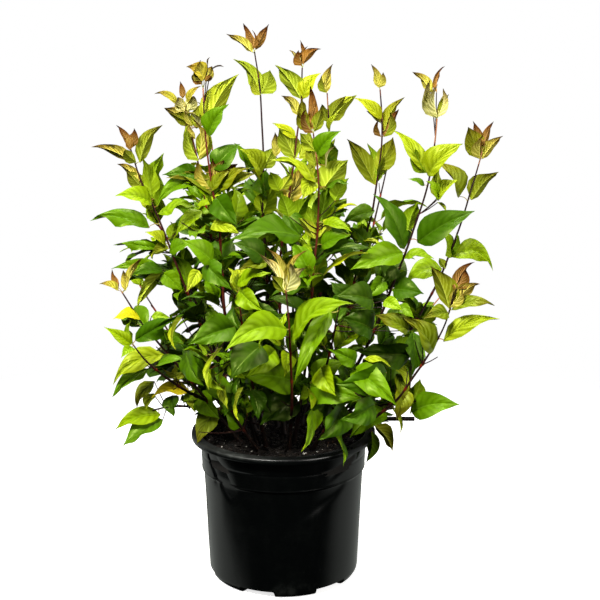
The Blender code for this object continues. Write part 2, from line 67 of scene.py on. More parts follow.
studio = {
    "skyStrength": 0.30,
    "floorRadius": 60.0,
    "floorColour": (0.86, 0.86, 0.86),
    "floorGlow": 0.72,
    "floorTurnsWhite": (0.5, 1.1),
    "wallRadius": 80.0,
    "lights": {
        "key": {"place": (-0.9, -1.6, 2.2), "size": (0.55, 0.55), "power": 128},
        "fill": {"place": (1.6, -1.7, 0.95), "size": (1.0, 1.2), "power": 40},
        "top": {"place": (0.25, 0.4, 2.5), "size": (1.3, 1.3), "power": 62},
    },
    "warmth": (1.0, 0.975, 0.92),
    "cardColour": (0.94, 1.0, 0.93),
    # curved reflectors: distance, then the height and the degrees round from the front of both
    # ends of a row, and the share of the half width where it starts to fade
    "cards": {
        "card_left": {
            "away": 1.5, "soft": 0.93, "strength": 0.48,
            "rows": (
                (-1.3, -42, -200), (-0.84, -51, -200), (-0.77, -66, -200), (-0.62, -85, -200),
                (-0.56, -96, -200), (0.35, -108, -200),
            ),
        },
        "card_right": {
            "away": 1.5, "soft": 0.55, "strength": 0.38,
            "rows": (
                (-1.3, 50, 210), (-0.84, 54, 210), (-0.62, 62, 210), (0.35, 74, 210),
            ),
        },
    },
    "aim": (0.0, 0.0, 0.36),
}


def setCamera():
    camera = bpy.data.objects.new("camera", bpy.data.cameras.new("camera"))
    camera.location = view["place"]
    camera.rotation_euler = (math.radians(view["tilt"]), 0, 0)
    camera.data.lens = view["lens"]
    camera.data.sensor_width = view["sensor"]
    bpy.context.scene.collection.objects.link(camera)
    bpy.context.scene.camera = camera


def atPicture(across, down, y):
    # the point y deep that the camera shows at a place of a picture 600 points wide
    across, down = (across - 300) / focal, (down - 300) / focal
    way = Vector((
        across, math.cos(dip) - down * math.sin(dip), -math.sin(dip) - down * math.cos(dip)
    ))
    eye = Vector(view["place"])
    return eye + way * ((y - eye.y) / way.y)


def inPicture(point):
    # where the camera shows a point
    x, y, z = Vector(point) - Vector(view["place"])
    ahead = y * math.cos(dip) - z * math.sin(dip)
    above = y * math.sin(dip) + z * math.cos(dip)
    return 300 + focal * x / ahead, 300 - focal * above / ahead


def setLights():
    world = bpy.data.worlds.new("studio")
    world.use_nodes = True
    # bright above the horizon and dark below it, so that the pot's sides stay black
    sky = world.node_tree.nodes["Background"]
    sky.inputs["Strength"].default_value = studio["skyStrength"]
    place = world.node_tree.nodes.new("ShaderNodeTexCoord")
    parts = world.node_tree.nodes.new("ShaderNodeSeparateXYZ")
    rise = world.node_tree.nodes.new("ShaderNodeMapRange")
    rise.inputs["From Min"].default_value = -0.05
    rise.inputs["From Max"].default_value = 0.35
    links = world.node_tree.links
    links.new(place.outputs["Generated"], parts.inputs[0])
    links.new(parts.outputs["Z"], rise.inputs["Value"])
    links.new(rise.outputs[0], sky.inputs["Color"])
    bpy.context.scene.world = world
    for name, lamp in studio["lights"].items():
        light = bpy.data.lights.new(name, "AREA")
        light.shape = "RECTANGLE"
        light.size, light.size_y = lamp["size"]
        light.energy = lamp["power"]
        light.color = studio["warmth"]
        holder = bpy.data.objects.new(name, light)
        holder.location = lamp["place"]
        aim = Vector(studio["aim"]) - Vector(lamp["place"])
        holder.rotation_euler = aim.to_track_quat("-Z", "Y").to_euler()
        bpy.context.scene.collection.objects.link(holder)
    bpy.context.scene.view_settings.view_transform = "Standard"


def linear(*rgb):
    # from the 0-255 values a picture shows to the numbers a shader takes
    return tuple(
        (c / 12.92 if c <= 0.04045 else ((c + 0.055) / 1.055) ** 2.4)
        for c in (value / 255 for value in rgb)
    )


class Wire:
    # one output socket of a material, or of its shader, for use in plain expressions

    def __init__(self, paint, out):
        self.paint = paint
        self.out = out

    def math(self, operation, first, second=None, clamp=False):
        sockets = {0: first} if second is None else {0: first, 1: second}
        return self.paint.node("ShaderNodeMath", {"operation": operation, "use_clamp": clamp}, sockets)

    def __add__(self, other):
        return self.math("ADD", self, other)

    def __radd__(self, other):
        return self.math("ADD", other, self)

    def __sub__(self, other):
        return self.math("SUBTRACT", self, other)

    def __rsub__(self, other):
        return self.math("SUBTRACT", other, self)

    def __mul__(self, other):
        return self.math("MULTIPLY", self, other)

    def __rmul__(self, other):
        return self.math("MULTIPLY", other, self)

    def __pow__(self, other):
        return self.math("POWER", self, other)

    def __abs__(self):
        return self.math("ABSOLUTE", self)

    def fraction(self):
        return self.math("FRACT", self)

    def clamped(self):
        return self.math("ADD", self, 0.0, clamp=True)

    def band(self, low, high):
        # 0 below low, 1 above high, smooth between
        sockets = {"Value": self, "From Min": low, "From Max": high}
        return self.paint.node("ShaderNodeMapRange", {"interpolation_type": "SMOOTHSTEP"}, sockets)


class Paint:
    # a material with one Principled shader and the nodes that feed it

    def __init__(self, name, **settings):
        self.material = bpy.data.materials.new(name)
        self.material.use_nodes = True
        self.tree = self.material.node_tree
        self.shader = self.tree.nodes["Principled BSDF"]
        self.set(**settings)

    def set(self, **values):
        for name, value in values.items():
            self.feed(self.shader.inputs[name.replace("_", " ")], value)

    def feed(self, socket, value):
        if isinstance(value, Wire):
            self.tree.links.new(value.out, socket)
        elif isinstance(value, tuple) and len(value) == 3 and socket.type == "RGBA":
            socket.default_value = (*value, 1)
        else:
            socket.default_value = value

    def node(self, kind, settings=None, sockets=None, out=0):
        made = self.tree.nodes.new(kind)
        for name, value in (settings or {}).items():
            if name == "stops":
                self.setStops(made.color_ramp, value)
            else:
                setattr(made, name, value)
        for name, value in (sockets or {}).items():
            self.feed(made.inputs[name], value)
        return Wire(self, made.outputs[out])

    def setStops(self, ramp, stops):
        while len(ramp.elements) < len(stops):
            ramp.elements.new(1.0)
        for element, (place, colour) in zip(ramp.elements, stops):
            element.position = place
            element.color = (*colour, 1)

    def attribute(self, name):
        return self.node("ShaderNodeAttribute", {"attribute_name": name}, out="Fac")

    def place(self, scale=(1, 1, 1)):
        own = self.node("ShaderNodeTexCoord", out="Object")
        return self.node("ShaderNodeMapping", {}, {"Vector": own, "Scale": scale})

    def noise(self, scale, detail=3.0, rough=0.55, where=None):
        where = where or self.place()
        sockets = {"Vector": where, "Scale": scale, "Detail": detail, "Roughness": rough}
        return self.node("ShaderNodeTexNoise", {}, sockets)

    def cells(self, scale, where=None):
        where = where or self.place()
        return self.node("ShaderNodeTexVoronoi", {}, {"Vector": where, "Scale": scale})

    def blend(self, share, first, second):
        sockets = {0: share, 6: first, 7: second}
        return self.node("ShaderNodeMix", {"data_type": "RGBA"}, sockets, out=2)

    def relief(self, height, distance, strength):
        sockets = {"Height": height, "Distance": distance, "Strength": strength}
        self.set(Normal=self.node("ShaderNodeBump", {}, sockets))


def link(mesh, *materials):
    for material in materials:
        mesh.materials.append(material)
    piece = bpy.data.objects.new(mesh.name, mesh)
    bpy.context.scene.collection.objects.link(piece)
    return piece


def quadMesh(name, verts, quads, materials=None):
    mesh = bpy.data.meshes.new(name)
    mesh.vertices.add(len(verts))
    mesh.vertices.foreach_set("co", np.asarray(verts, np.float32).ravel())
    mesh.loops.add(len(quads) * 4)
    mesh.loops.foreach_set("vertex_index", np.asarray(quads, np.int32).ravel())
    mesh.polygons.add(len(quads))
    mesh.polygons.foreach_set("loop_start", np.arange(len(quads), dtype=np.int32) * 4)
    if materials is not None:
        mesh.polygons.foreach_set("material_index", np.asarray(materials, np.int32))
    mesh.update(calc_edges=True)
    return mesh


def setValues(mesh, name, values):
    layer = mesh.attributes.new(name, "FLOAT", "POINT")
    layer.data.foreach_set("value", np.asarray(values, np.float32).ravel())


def soften(mesh, degrees):
    mesh.shade_smooth()
    mesh.set_sharp_from_angle(angle=math.radians(degrees))


def putOnStage(piece, *unseenBy):
    # a part of the studio, hidden from some kinds of rays
    for ray in unseenBy:
        setattr(piece, f"visible_{ray}", False)


def finishPiece(mesh, materials, slot, *nodes):
    piece = link(mesh, *materials)
    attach(piece, "root")
    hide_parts(*nodes)


# Lengths in millimetres: foot (x, y), a point the cane passes, tip, height where its leaves
# start, radius at the foot, largest leaf, and the bearing in degrees of its first pair.
canes = {
    "left_tall": ((-44, -14), (-128, -20, 400), (-197, -20, 588), 300, 3.4, 76, 10),
    "left_crown": ((-38, 22), (-86, 42, 375), (-138, 60, 636), 360, 3.4, 76, 60),
    "front_left_spire": ((-34, -34), (-78, -52, 430), (-96, -55, 668), 370, 3.2, 76, 20),
    "top": ((-8, 38), (-28, 78, 480), (-36, 98, 716), 385, 3.6, 74, 95),
    "centre": ((2, 4), (0, 20, 440), (24, 28, 692), 360, 3.8, 82, 30),
    "front_centre": ((14, -26), (41, -58, 430), (38, -66, 640), 310, 3.3, 76, 70),
    "back_spire": ((26, 46), (60, 112, 470), (65, 128, 658), 400, 3.3, 74, 15),
    "right_centre": ((42, 2), (108, 20, 450), (124, 20, 662), 345, 3.5, 80, 50),
    "right_tall": ((34, -26), (134, -46, 400), (184, -50, 660), 350, 3.5, 80, 25),
    "right_outer": ((60, 6), (204, 30, 400), (262, 40, 588), 300, 3.6, 78, 80),
    "right_arching": ((58, -32), (166, -98, 305), (228, -118, 435), 255, 3.2, 86, 35),
    "front_pale": ((8, -56), (12, -152, 372), (6, -172, 458), 262, 3.0, 88, 5),
    "left_arching": ((-56, -30), (-150, -72, 335), (-212, -80, 414), 280, 3.1, 70, 40),
    "left_drooping": ((-62, -14), (-124, -40, 248), (-192, -50, 238), 225, 3.0, 84, 75),
    "front_left_low": ((-32, -56), (-82, -134, 310), (-104, -160, 376), 225, 3.0, 90, 25),
    "front_right_low": ((40, -50), (88, -130, 305), (118, -160, 366), 225, 3.0, 92, 65),
    "front_left_mid": ((-22, -42), (-46, -104, 350), (-58, -124, 452), 250, 3.0, 84, 50),
    "front_right_mid": ((26, -44), (62, -106, 350), (80, -128, 446), 250, 3.0, 86, 20),
    "right_drooping": ((66, -10), (134, -46, 252), (190, -62, 262), 228, 3.0, 88, 10),
    "back_left": ((-26, 50), (-84, 136, 420), (-104, 176, 574), 330, 3.3, 82, 55),
    "back_centre": ((8, 60), (12, 158, 400), (8, 200, 520), 310, 3.3, 82, 20),
    "back_right": ((42, 40), (118, 132, 420), (152, 160, 564), 330, 3.3, 82, 85),
    "side_left_low": ((-58, 22), (-152, 88, 300), (-206, 112, 380), 240, 3.1, 88, 35),
    "side_right_low": ((62, 28), (166, 88, 300), (224, 106, 366), 240, 3.1, 88, 60),
    "rear_left_low": ((-16, 66), (-64, 158, 285), (-80, 198, 322), 225, 3.0, 88, 15),
    "rear_right_low": ((28, 62), (82, 156, 280), (98, 194, 318), 225, 3.0, 88, 50),
}

# Boughs that fork off a cane: parent, height of the fork, then as above from the passing point.
boughs = {
    "left_inner": ("left_tall", 262, (-150, 44, 440), (-188, 60, 510), 350, 2.6, 76, 30),
    "left_low": ("left_arching", 262, (-150, -112, 318), (-182, -136, 366), 285, 2.4, 70, 65),
}

growth = {
    "soilTop": 0.1923,
    "firstSeed": 7100,
    "leafScale": 1.1,
    "firstPair": 0.016,
    "internode": 0.047,
    "tipInternode": 0.034,
    "twigChance": 0.66,
    "twigsEnd": 0.76,
    "twigLengths": (0.55, 0.95),
    "twigsShrink": 0.4,
    "twigLifts": (0.5, 1.0),
    "twigSkew": 0.3,
    "pairSkew": 0.25,
    "pairLift": 0.13,
    "lowPairLift": -0.12,
    "tipPairLift": 0.7,
    "liftSpread": 0.15,
    "lowCane": 0.42,
    "shrinksToTip": 0.52,
    "shootChance": 0.7,  # of a short shoot in a leaf's axil
    "shootLengths": (0.010, 0.034),
    "shootLeaves": (0.3, 0.55),  # of the largest leaf
    "mostCrossings": 2,
    "reachBeyondBox": 0.006,
    "pathSteps": 200,
    "smoothings": 30,  # of a leader's bends between the places it passes
    "keptClear": 0.34,  # of a front leaf's length, round its middle
    # short leafy shoots on the bare length of the canes
    "lowShoots": {"from": 0.216, "spacing": 0.034, "chance": 0.62, "lengths": (0.03, 0.062)},
    "frontLean": 0.6,  # how far the level leaves of the foremost canes lean out of the crown
    "frontDepth": 0.17,
    "shownArch": 0.9,
    "onLeader": 11,  # picture points within which a leaf's place belongs to the leader itself
}

# Where the front view shows the leaders, from the first pair of leaves under the tip downwards.
leaders = {
    "left_tall": ((131, 150), (141, 182), (152, 203), (164, 232), (174, 258), (188, 295)),
    "left_crown": ((185, 104), (190, 128), (198, 161), (205, 200), (222, 300)),
    "front_left_spire": ((203, 83), (205, 128), (208, 160), (214, 200), (220, 225), (225, 320)),
    "top": ((254, 51), (258, 72), (261, 96), (263, 150), (263, 215)),
    "centre": ((302, 68), (302, 101), (297, 135), (293, 170), (288, 205), (280, 260)),
    "front_centre": ((313, 133), (316, 152), (319, 187), (317, 240), (313, 276)),
    "back_spire": ((327, 93), (329, 122), (329, 150)),
    "right_centre": ((380, 89), (382, 118), (382, 145), (376, 188), (372, 215), (358, 260)),
    "right_tall": ((437, 118), (435, 142), (429, 180), (423, 202), (413, 231), (395, 280)),
    "right_outer": ((482, 152), (480, 160), (470, 192), (465, 210), (449, 255), (441, 275)),
    "right_arching": ((450, 308), (446, 322), (439, 337), (428, 356), (412, 379), (398, 400)),
    "front_pale": ((286, 292), (287, 300), (290, 340)),
    "left_arching": ((122, 292), (141, 323), (168, 354)),
    "left_low": ((133, 345), (146, 362)),
    "front_right_mid": ((341, 298), (331, 346)),
    "front_right_low": ((364, 376), (352, 388)),
    "front_left_mid": ((238, 292), (245, 345)),
    "front_left_low": ((207, 356), (216, 382)),
}

# Leaves that the front view shows singly, by cane. First the picture height above which only
# these grow, 0 for none. Then a row a leaf, in points of a picture 600 wide: where the blade
# starts, where its tip is, its kind, how far the upper side turns to the eye in degrees (the
# lower side where negative), how many millimetres nearer the tip is, then, where these are
# unusual, its breadth, how much it arches, and how far it bows to the left of its way (to the
# right where negative).
# The deep and dark kinds in these rows go on leaves in the crown's shade, and are partly painted shade.
frontLeaves = {
    "left_tall": (272, (
        (131, 150, 116, 125, "bronze", -60, 0, 0.36), (132, 149, 134, 128, "bronze", -70, 8, 0.45),
        (130, 152, 132, 133, "bronze", 40, -8), (134, 162, 91, 147, "gold", -50, 5, 0.4),
        (139, 164, 163, 125, "olive", -66, -5, 0.4, 0.9, 0.05), (137, 163, 125, 150, "olive", -60, 25),
        (141, 182, 117, 164, "gold", -50, 10), (143, 188, 126, 171, "olive", -60, 8, 0.7),
        (153, 203, 115, 196, "fresh", 60, 20, 0.6),
        (154, 201, 164, 153, "green", -66, 0, 0.54, 0.9, 0.06),
        (152, 200, 143, 158, "fresh", -60, 18, 0.45),
        (151, 228, 90, 221, "green", 50, 5, 0.34, 0.9, -0.06),
        (157, 214, 200, 207, "fresh", 30, 10, 0.42), (156, 208, 180, 178, "green", -30, 6, 0.4),
        (203, 210, 176, 236, "fresh", 40, 14, 0.5), (170, 240, 177, 222, "fresh", -50, 8, 0.6),
        (168, 252, 194, 242, "green", 50, 8, 0.6), (160, 248, 113, 245, "green", 60, 0, 0.22),
        (166, 248, 145, 232, "lime", 66, 15, 0.7), (170, 248, 151, 259, "lime", -40, 20, 0.8),
        (164, 270, 111, 269, "green", 56, 0, 0.28, 0.6, -0.08),
        (164, 270, 131, 276, "deep", 50, 10, 0.5),
        (163, 271, 137, 309, "lime", -70, 12, 0.36), (162, 272, 183, 291, "green", 50, 6, 0.7),
    )),
    "left_crown": (170, (
        (183, 100, 180, 81, "bronze", -80, 0, 0.4),
        (179, 106, 154, 94, "gold", 56, 5, 0.36, 0.9, -0.12),
        (187, 104, 201, 86, "gold", 50, 5, 0.5), (187, 112, 178, 97, "cream", -60, 14, 0.8),
        (187, 112, 194, 96, "cream", -60, 14, 0.7), (192, 124, 164, 108, "gold", -60, 12, 0.56),
        (194, 126, 171, 114, "olive", -60, 18, 0.46), (200, 128, 184, 112, "cream", 40, 24, 0.4),
        (190, 118, 176, 106, "olive", -60, 8, 0.6), (196, 130, 203, 103, "olive", -60, 6, 0.6),
        (199, 162, 188, 124, "lime", -70, 18, 0.56), (199, 161, 191, 118, "gold", -80, 14, 0.4),
        (200, 161, 204, 124, "lime", -66, 12, 0.46), (200, 150, 208, 128, "olive", -50, 4, 0.6),
        (196, 140, 186, 122, "gold", -66, 10, 0.5), (193, 128, 187, 104, "gold", -70, 10, 0.4),
    )),
    "front_left_spire": (215, (
        (205, 81, 186, 67, "gold", 66, 8, 0.9, 0.9, -0.2), (204, 82, 201, 60, "gold", -70, 12, 0.95),
        (204, 82, 212, 66, "gold", -66, 6, 0.7), (203, 85, 192, 75, "bronze", -60, 14, 0.6),
        (207, 66, 210, 57, "bud", 0, -2, 0.3), (209, 70, 224, 67, "bud", 10, 0, 0.3),
        (204, 82, 212, 77, "bronze", -50, 10, 0.6),
        (205, 128, 239, 74, "lime", -62, 0, 0.46, 0.9, 0.04),
        (207, 136, 229, 104, "green", 64, 10, 0.7), (206, 128, 197, 102, "olive", -70, -20),
        (211, 192, 184, 172, "olive", -40, 10, 0.5), (211, 192, 234, 170, "olive", 50, 10, 0.5),
        (210, 190, 198, 160, "gold", -70, 20, 0.5), (212, 190, 224, 160, "gold", -60, 16, 0.5),
        (211, 188, 212, 158, "bronze", -60, 8, 0.4), (218, 190, 250, 168, "olive", 50, 14, 0.5),
        (219, 188, 238, 164, "bronze", -60, 10, 0.5),
        (212, 170, 240, 144, "deep", 56, -12, 0.7, 0.9, -0.05),
        (226, 194, 256, 174, "olive", 40, 8, 0.6), (204, 174, 162, 175, "deep", 50, 0, 0.46, 0.6),
        (214, 197, 166, 178, "olive", 30, 10, 0.42), (213, 208, 184, 182, "fresh", 40, 14, 0.4),
        (200, 181, 157, 205, "green", 50, 4, 0.38, 0.9, -0.1),
        (215, 196, 238, 226, "deep", 50, 15, 0.7),
        (212, 222, 240, 234, "lime", 50, 18, 0.6),
    )),
    "top": (190, (
        (254, 51, 243, 23, "bronze", -66, 0, 0.36), (255, 51, 269, 24, "bronze", -66, 0, 0.36),
        (254, 50, 252, 30, "bronze", -80, 8), (254, 53, 226, 34, "gold", -60, 5, 0.4),
        (261, 95, 233, 59, "lime", -50, 5, 0.4, 0.9, -0.07), (261, 95, 270, 70, "lime", -70, 14, 0.86),
        (261, 96, 252, 78, "lime", -80, 16, 0.5), (262, 174, 240, 149, "lime", 60, 16, 0.9),
        (262, 170, 274, 147, "lime", -60, 8, 0.7), (268, 200, 245, 166, "deep", 50, 4, 0.8),
        (264, 188, 250, 170, "olive", 50, 10, 0.8), (248, 176, 234, 143, "green", 60, 6, 0.9),
        (262, 216, 273, 187, "fresh", -50, 10, 0.8), (262, 174, 266, 196, "deep", 60, 26, 0.8),
    )),
    "centre": (215, (
        (302, 66, 300, 40, "bronze", -60, 0, 0.3), (302, 67, 299, 50, "bronze", -74, 8, 0.9),
        (302, 65, 321, 49, "bronze", -60, 4, 0.5, 0.9, 0.14), (301, 65, 289, 50, "cream", -40, 0, 0.4),
        (301, 67, 308, 46, "bronze", -60, -5, 0.4), (302, 100, 275, 65, "lime", -60, 5, 0.56),
        (302, 100, 321, 73, "lime", 60, 0, 0.66, 0.9, 0.04),
        (298, 116, 281, 96, "gold", -60, 5, 0.46, 0.9, -0.1),
        (297, 139, 272, 123, "lime", 60, 0, 0.4), (296, 160, 279, 128, "lime", -60, 14, 0.66),
        (299, 160, 309, 130, "lime", -60, 16, 0.66), (276, 158, 275, 132, "gold", -80, 0, 0.44),
        (288, 205, 304, 166, "gold", -50, 10, 0.5), (280, 192, 270, 172, "fresh", -60, 15, 0.6),
        (280, 192, 291, 174, "lime", -50, 12, 0.5), (284, 212, 301, 240, "deep", 50, 8, 0.7),
        (306, 178, 312, 158, "olive", -60, 6, 0.6),
    )),
    "front_centre": (205, (
        (312, 131, 310, 85, "bronze", -76, 0, 0.3), (312, 133, 303, 98, "olive", -66, 12, 0.56),
        (314, 133, 322, 108, "olive", -60, 10, 0.5), (313, 134, 306, 110, "bronze", -80, 18, 0.5),
        (316, 156, 341, 131, "green", 66, 8, 0.66), (316, 152, 300, 133, "lime", -60, 12, 0.6),
        (325, 168, 336, 146, "cream", -40, -6, 0.3), (316, 168, 309, 140, "olive", -60, 4, 0.5),
        (318, 184, 270, 160, "lime", 34, 14, 0.5), (322, 190, 348, 160, "lime", -70, 10, 0.75),
        (334, 202, 349, 178, "fresh", -50, 4, 0.7), (290, 218, 280, 194, "green", -50, 6, 0.8),
        (312, 178, 302, 200, "lime", 40, 16, 0.7), (325, 188, 349, 184, "deep", 20, 4, 0.5),
        (321, 224, 330, 184, "deep", -60, 4, 0.56), (334, 212, 358, 206, "lime", 20, 10, 0.4),
        (333, 216, 349, 210, "dark", 30, 0, 0.5), (316, 240, 298, 218, "lime", -50, 10, 0.5),
        (318, 238, 340, 218, "lime", -50, 10, 0.5), (320, 246, 350, 236, "green", 50, 10, 0.6),
        (312, 246, 297, 256, "fresh", 50, 8, 0.6), (316, 234, 308, 206, "fresh", -60, 8, 0.5),
        (322, 222, 352, 232, "fresh", 40, 12, 0.44), (302, 236, 229, 241, "deep", 24, 14, 0.46),
        (312, 266, 372, 249, "dark", 20, 8, 0.4), (322, 276, 368, 253, "lime", 12, 12, 0.3),
    )),
    "back_spire": (150, (
        (326, 94, 333, 64, "gold", -80, 0, 0.42, 0.9, 0.12), (326, 94, 322, 75, "olive", -85, 6, 0.6),
        (329, 122, 357, 95, "lime", -60, 5, 0.56), (328, 120, 346, 96, "olive", -60, 10, 0.5),
        (329, 123, 322, 104, "olive", -60, 10, 0.6), (329, 133, 339, 114, "lime", 60, 10, 0.6),
        (327, 152, 338, 166, "fresh", 60, 6),
    )),
    "right_centre": (225, (
        (379, 89, 371, 64, "gold", -70, 0, 0.44), (379, 89, 383, 72, "gold", -80, 8, 0.55),
        (383, 120, 354, 98, "lime", 50, 5, 0.46), (382, 124, 366, 111, "gold", -50, 8, 0.4),
        (384, 132, 405, 97, "olive", -60, 0, 0.4, 0.9, 0.06),
        (383, 138, 399, 109, "bronze", -60, 10, 0.4),
        (381, 138, 379, 120, "bronze", -70, 14, 0.5), (384, 138, 390, 112, "olive", -70, 14, 0.5),
        (376, 186, 347, 139, "olive", -74, 5, 0.4), (377, 184, 367, 143, "fresh", -66, -5, 0.4),
        (376, 172, 393, 137, "olive", -74, 10, 0.62), (377, 178, 383, 150, "olive", 60, -14, 0.6),
        (376, 210, 343, 225, "green", 50, 0, 0.6), (370, 246, 350, 228, "green", 55, 8, 0.7),
        (354, 243, 386, 250, "lime", 14, 16, 0.42),
    )),
    "right_tall": (275, (
        (436, 119, 430, 80, "cream", -80, 22, 0.5, 0.9, -0.06),
        (437, 119, 443, 88, "cream", -66, 6, 0.4, 0.9, -0.06),
        (433, 94, 412, 72, "gold", -60, -4, 0.42), (436, 94, 445, 66, "bronze", -60, -4, 0.36),
        (437, 118, 438, 84, "cream", -84, 18, 0.56), (438, 112, 449, 94, "olive", -60, 4, 0.4),
        (424, 172, 393, 130, "lime", 50, 0, 0.4), (427, 174, 415, 149, "green", -70, 18, 0.6),
        (427, 177, 463, 144, "lime", 50, 5, 0.66), (426, 186, 408, 179, "green", 60, 0, 0.4),
        (437, 200, 458, 180, "lime", 50, 8, 0.9), (437, 200, 439, 168, "lime", -66, 10, 0.42),
        (437, 200, 426, 181, "fresh", 50, 12, 0.8), (437, 201, 447, 215, "lime", -40, 6, 0.5),
        (405, 250, 373, 194, "deep", 44, 5, 0.54), (416, 243, 475, 211, "deep", 54, 0, 0.5),
        (407, 232, 419, 202, "green", -56, 5, 0.6), (404, 252, 350, 270, "green", 44, 10, 0.52),
        (403, 257, 434, 259, "fresh", 30, 0, 0.5), (392, 289, 424, 294, "deep", 60, 10, 0.8),
        (384, 276, 367, 298, "green", 50, 6, 0.7), (398, 266, 384, 282, "dark", 50, 4, 0.7),
    )),
    "right_outer": (285, (
        (481, 148, 473, 121, "bronze", -60, 0, 0.36), (483, 148, 494, 121, "bronze", -60, 0, 0.36),
        (480, 160, 468, 127, "olive", -60, 8, 0.66), (481, 160, 503, 136, "gold", -60, 4, 0.5),
        (480, 160, 484, 134, "gold", -80, 14, 0.66), (459, 199, 438, 162, "olive", 44, 5, 0.74, 1.0),
        (470, 201, 499, 172, "olive", -48, 5, 0.66, 1.0), (446, 257, 439, 231, "fresh", 50, 14, 0.9),
        (449, 256, 456, 232, "deep", 50, 8, 0.6), (449, 256, 493, 271, "fresh", 56, 5, 0.54, 0.9, 0.28),
        (443, 268, 406, 284, "fresh", 50, 8, 0.58, 0.9, -0.1),
        (446, 270, 439, 258, "lime", -50, 8, 0.6),
    )),
    "right_arching": (352, (
        (453, 292, 475, 262, "bronze", -60, 0, 0.4), (456, 290, 466, 270, "bronze", -70, 6, 0.7),
        (450, 310, 430, 266, "olive", -60, 5, 0.6), (450, 308, 480, 284, "gold", -56, 5, 0.5),
        (450, 308, 462, 287, "gold", -80, 14, 0.5),
        (450, 310, 495, 306, "olive", 50, 0, 0.38, 0.9, 0.05),
        (449, 312, 423, 319, "olive", 40, 6, 0.6), (442, 342, 500, 319, "lime", 60, 0, 0.32, 0.9, 0.09),
        (434, 352, 402, 317, "olive", 50, 12, 0.56),
    )),
    "right_drooping": (0, (
        (410, 412, 460, 405, "green", 66, 5, 0.56, 0.9, 0.06),
        (410, 408, 420, 379, "deep", -60, 6, 0.7),
        (392, 407, 400, 434, "lime", -50, 8, 0.4), (374, 424, 392, 452, "olive", -60, 8, 0.7),
        (385, 408, 350, 438, "green", 60, 20, 0.62), (372, 430, 366, 463, "dark", -76, 5, 0.54),
        (408, 388, 409, 416, "fresh", -20, 0, 0.35), (404, 386, 396, 420, "olive", 60, 8, 0.7),
        (390, 362, 409, 390, "lime", 30, 6, 0.5), (396, 372, 404, 402, "olive", 50, 4, 0.6),
        (414, 353, 355, 350, "dark", 34, 4, 0.5),
        (412, 330, 412, 376, "deep", 50, -8, 0.5),
    )),
    "front_pale": (352, (
        (286, 293, 290, 263, "cream", -85, 16, 0.6), (286, 292, 259, 254, "cream", -60, 2, 0.3),
        (287, 290, 266, 248, "gold", -60, -4, 0.36), (287, 292, 306, 268, "cream", -60, 6, 0.5),
        (287, 290, 308, 250, "gold", -50, -6, 0.36), (286, 294, 271, 276, "olive", -60, 8, 0.6),
        (288, 329, 225, 351, "fresh", 40, 14, 0.44, 0.9, -0.12),
        (291, 342, 354, 304, "fresh", 30, 10, 0.4, 0.9, 0.12),
        (270, 330, 260, 350, "fresh", -30, 0, 0.3),
    )),
    "front_right_mid": (0, (
        (331, 309, 294, 384, "green", 16, 10, 0.24), (302, 318, 300, 364, "green", 60, 8, 0.66),
        (374, 330, 341, 318, "dark", 45, 8, 0.85), (374, 300, 336, 296, "dark", 45, 8, 0.7),
        (410, 331, 374, 315, "olive", 50, 8, 0.5), (350, 306, 330, 282, "dark", 45, 2, 0.8),
        (383, 300, 403, 311, "fresh", 50, 8, 0.6), (398, 304, 414, 318, "green", 50, 4, 0.6),
    )),
    "front_right_low": (0, (
        (309, 386, 362, 399, "green", 50, 10, 0.62), (325, 424, 343, 466, "deep", -50, 20, 0.5),
        (308, 386, 301, 452, "green", -45, 24, 0.4), (352, 368, 397, 406, "green", 50, 6, 0.46),
        (320, 366, 336, 396, "fresh", 60, 12, 0.7), (388, 372, 336, 384, "deep", 50, -6, 0.6),
        (362, 359, 391, 367, "lime", 10, 8, 0.36), (357, 362, 328, 349, "green", 40, 8, 0.5),
        (345, 404, 318, 440, "deep", 40, 8, 0.8), (332, 398, 304, 414, "dark", 50, 4, 0.8),
        (376, 404, 340, 420, "deep", 45, 2, 0.7),
    )),
    "left_arching": (332, (
        (120, 291, 99, 284, "gold", 50, 3, 0.56), (119, 290, 112, 269, "bronze", -60, 0, 0.36),
        (125, 292, 123, 270, "gold", -66, 6, 0.36), (125, 292, 143, 258, "gold", -50, 0, 0.26),
        (141, 318, 113, 319, "yellowed", 40, 10, 0.72), (150, 316, 171, 318, "fresh", 50, -5, 0.5),
        (167, 355, 113, 385, "lime", 50, 12, 0.4, 0.9, -0.11),
        (148, 368, 112, 398, "green", 56, 8, 0.36, 0.9, -0.06),
    )),
    "left_low": (362, (
        (133, 345, 104, 327, "fresh", 50, 4, 0.4), (133, 345, 131, 320, "green", -70, -6, 0.6),
        (134, 341, 184, 314, "deep", 50, 8, 0.3, 0.4), (133, 346, 121, 358, "fresh", 50, 10, 0.6),
    )),
    "left_drooping": (0, (
        (162, 414, 115, 430, "fresh", 50, 0, 0.4, 0.9, -0.06),
        (164, 419, 122, 447, "green", 60, 14, 0.66, 0.5),
        (155, 380, 137, 408, "olive", 50, 4, 0.5, 1.0),
        (191, 391, 151, 398, "yellowed", 64, 16, 0.5, 0.9, -0.08),
        (154, 392, 146, 410, "lime", 60, 8, 0.8), (188, 372, 162, 368, "olive", 50, 8, 0.7),
        (172, 394, 174, 417, "deep", 66, 14, 0.9), (194, 388, 196, 413, "lime", -60, 15, 0.6),
        (196, 394, 183, 402, "fresh", 60, 10, 0.9), (180, 384, 177, 362, "lime", -50, 4, 0.5),
        (214, 410, 197, 444, "olive", 60, 20, 0.62), (198, 392, 220, 419, "green", 40, 14, 0.7),
    )),
    "front_left_low": (0, (
        (182, 316, 176, 350, "lime", -60, 10, 0.5), (236, 326, 188, 345, "deep", 50, 8, 0.6),
        (222, 346, 209, 390, "lime", -40, 10, 0.36), (243, 386, 239, 421, "lime", -55, 14, 0.5),
        (262, 344, 230, 379, "dark", 30, 0, 0.8), (228, 364, 246, 379, "fresh", 40, 12, 0.5),
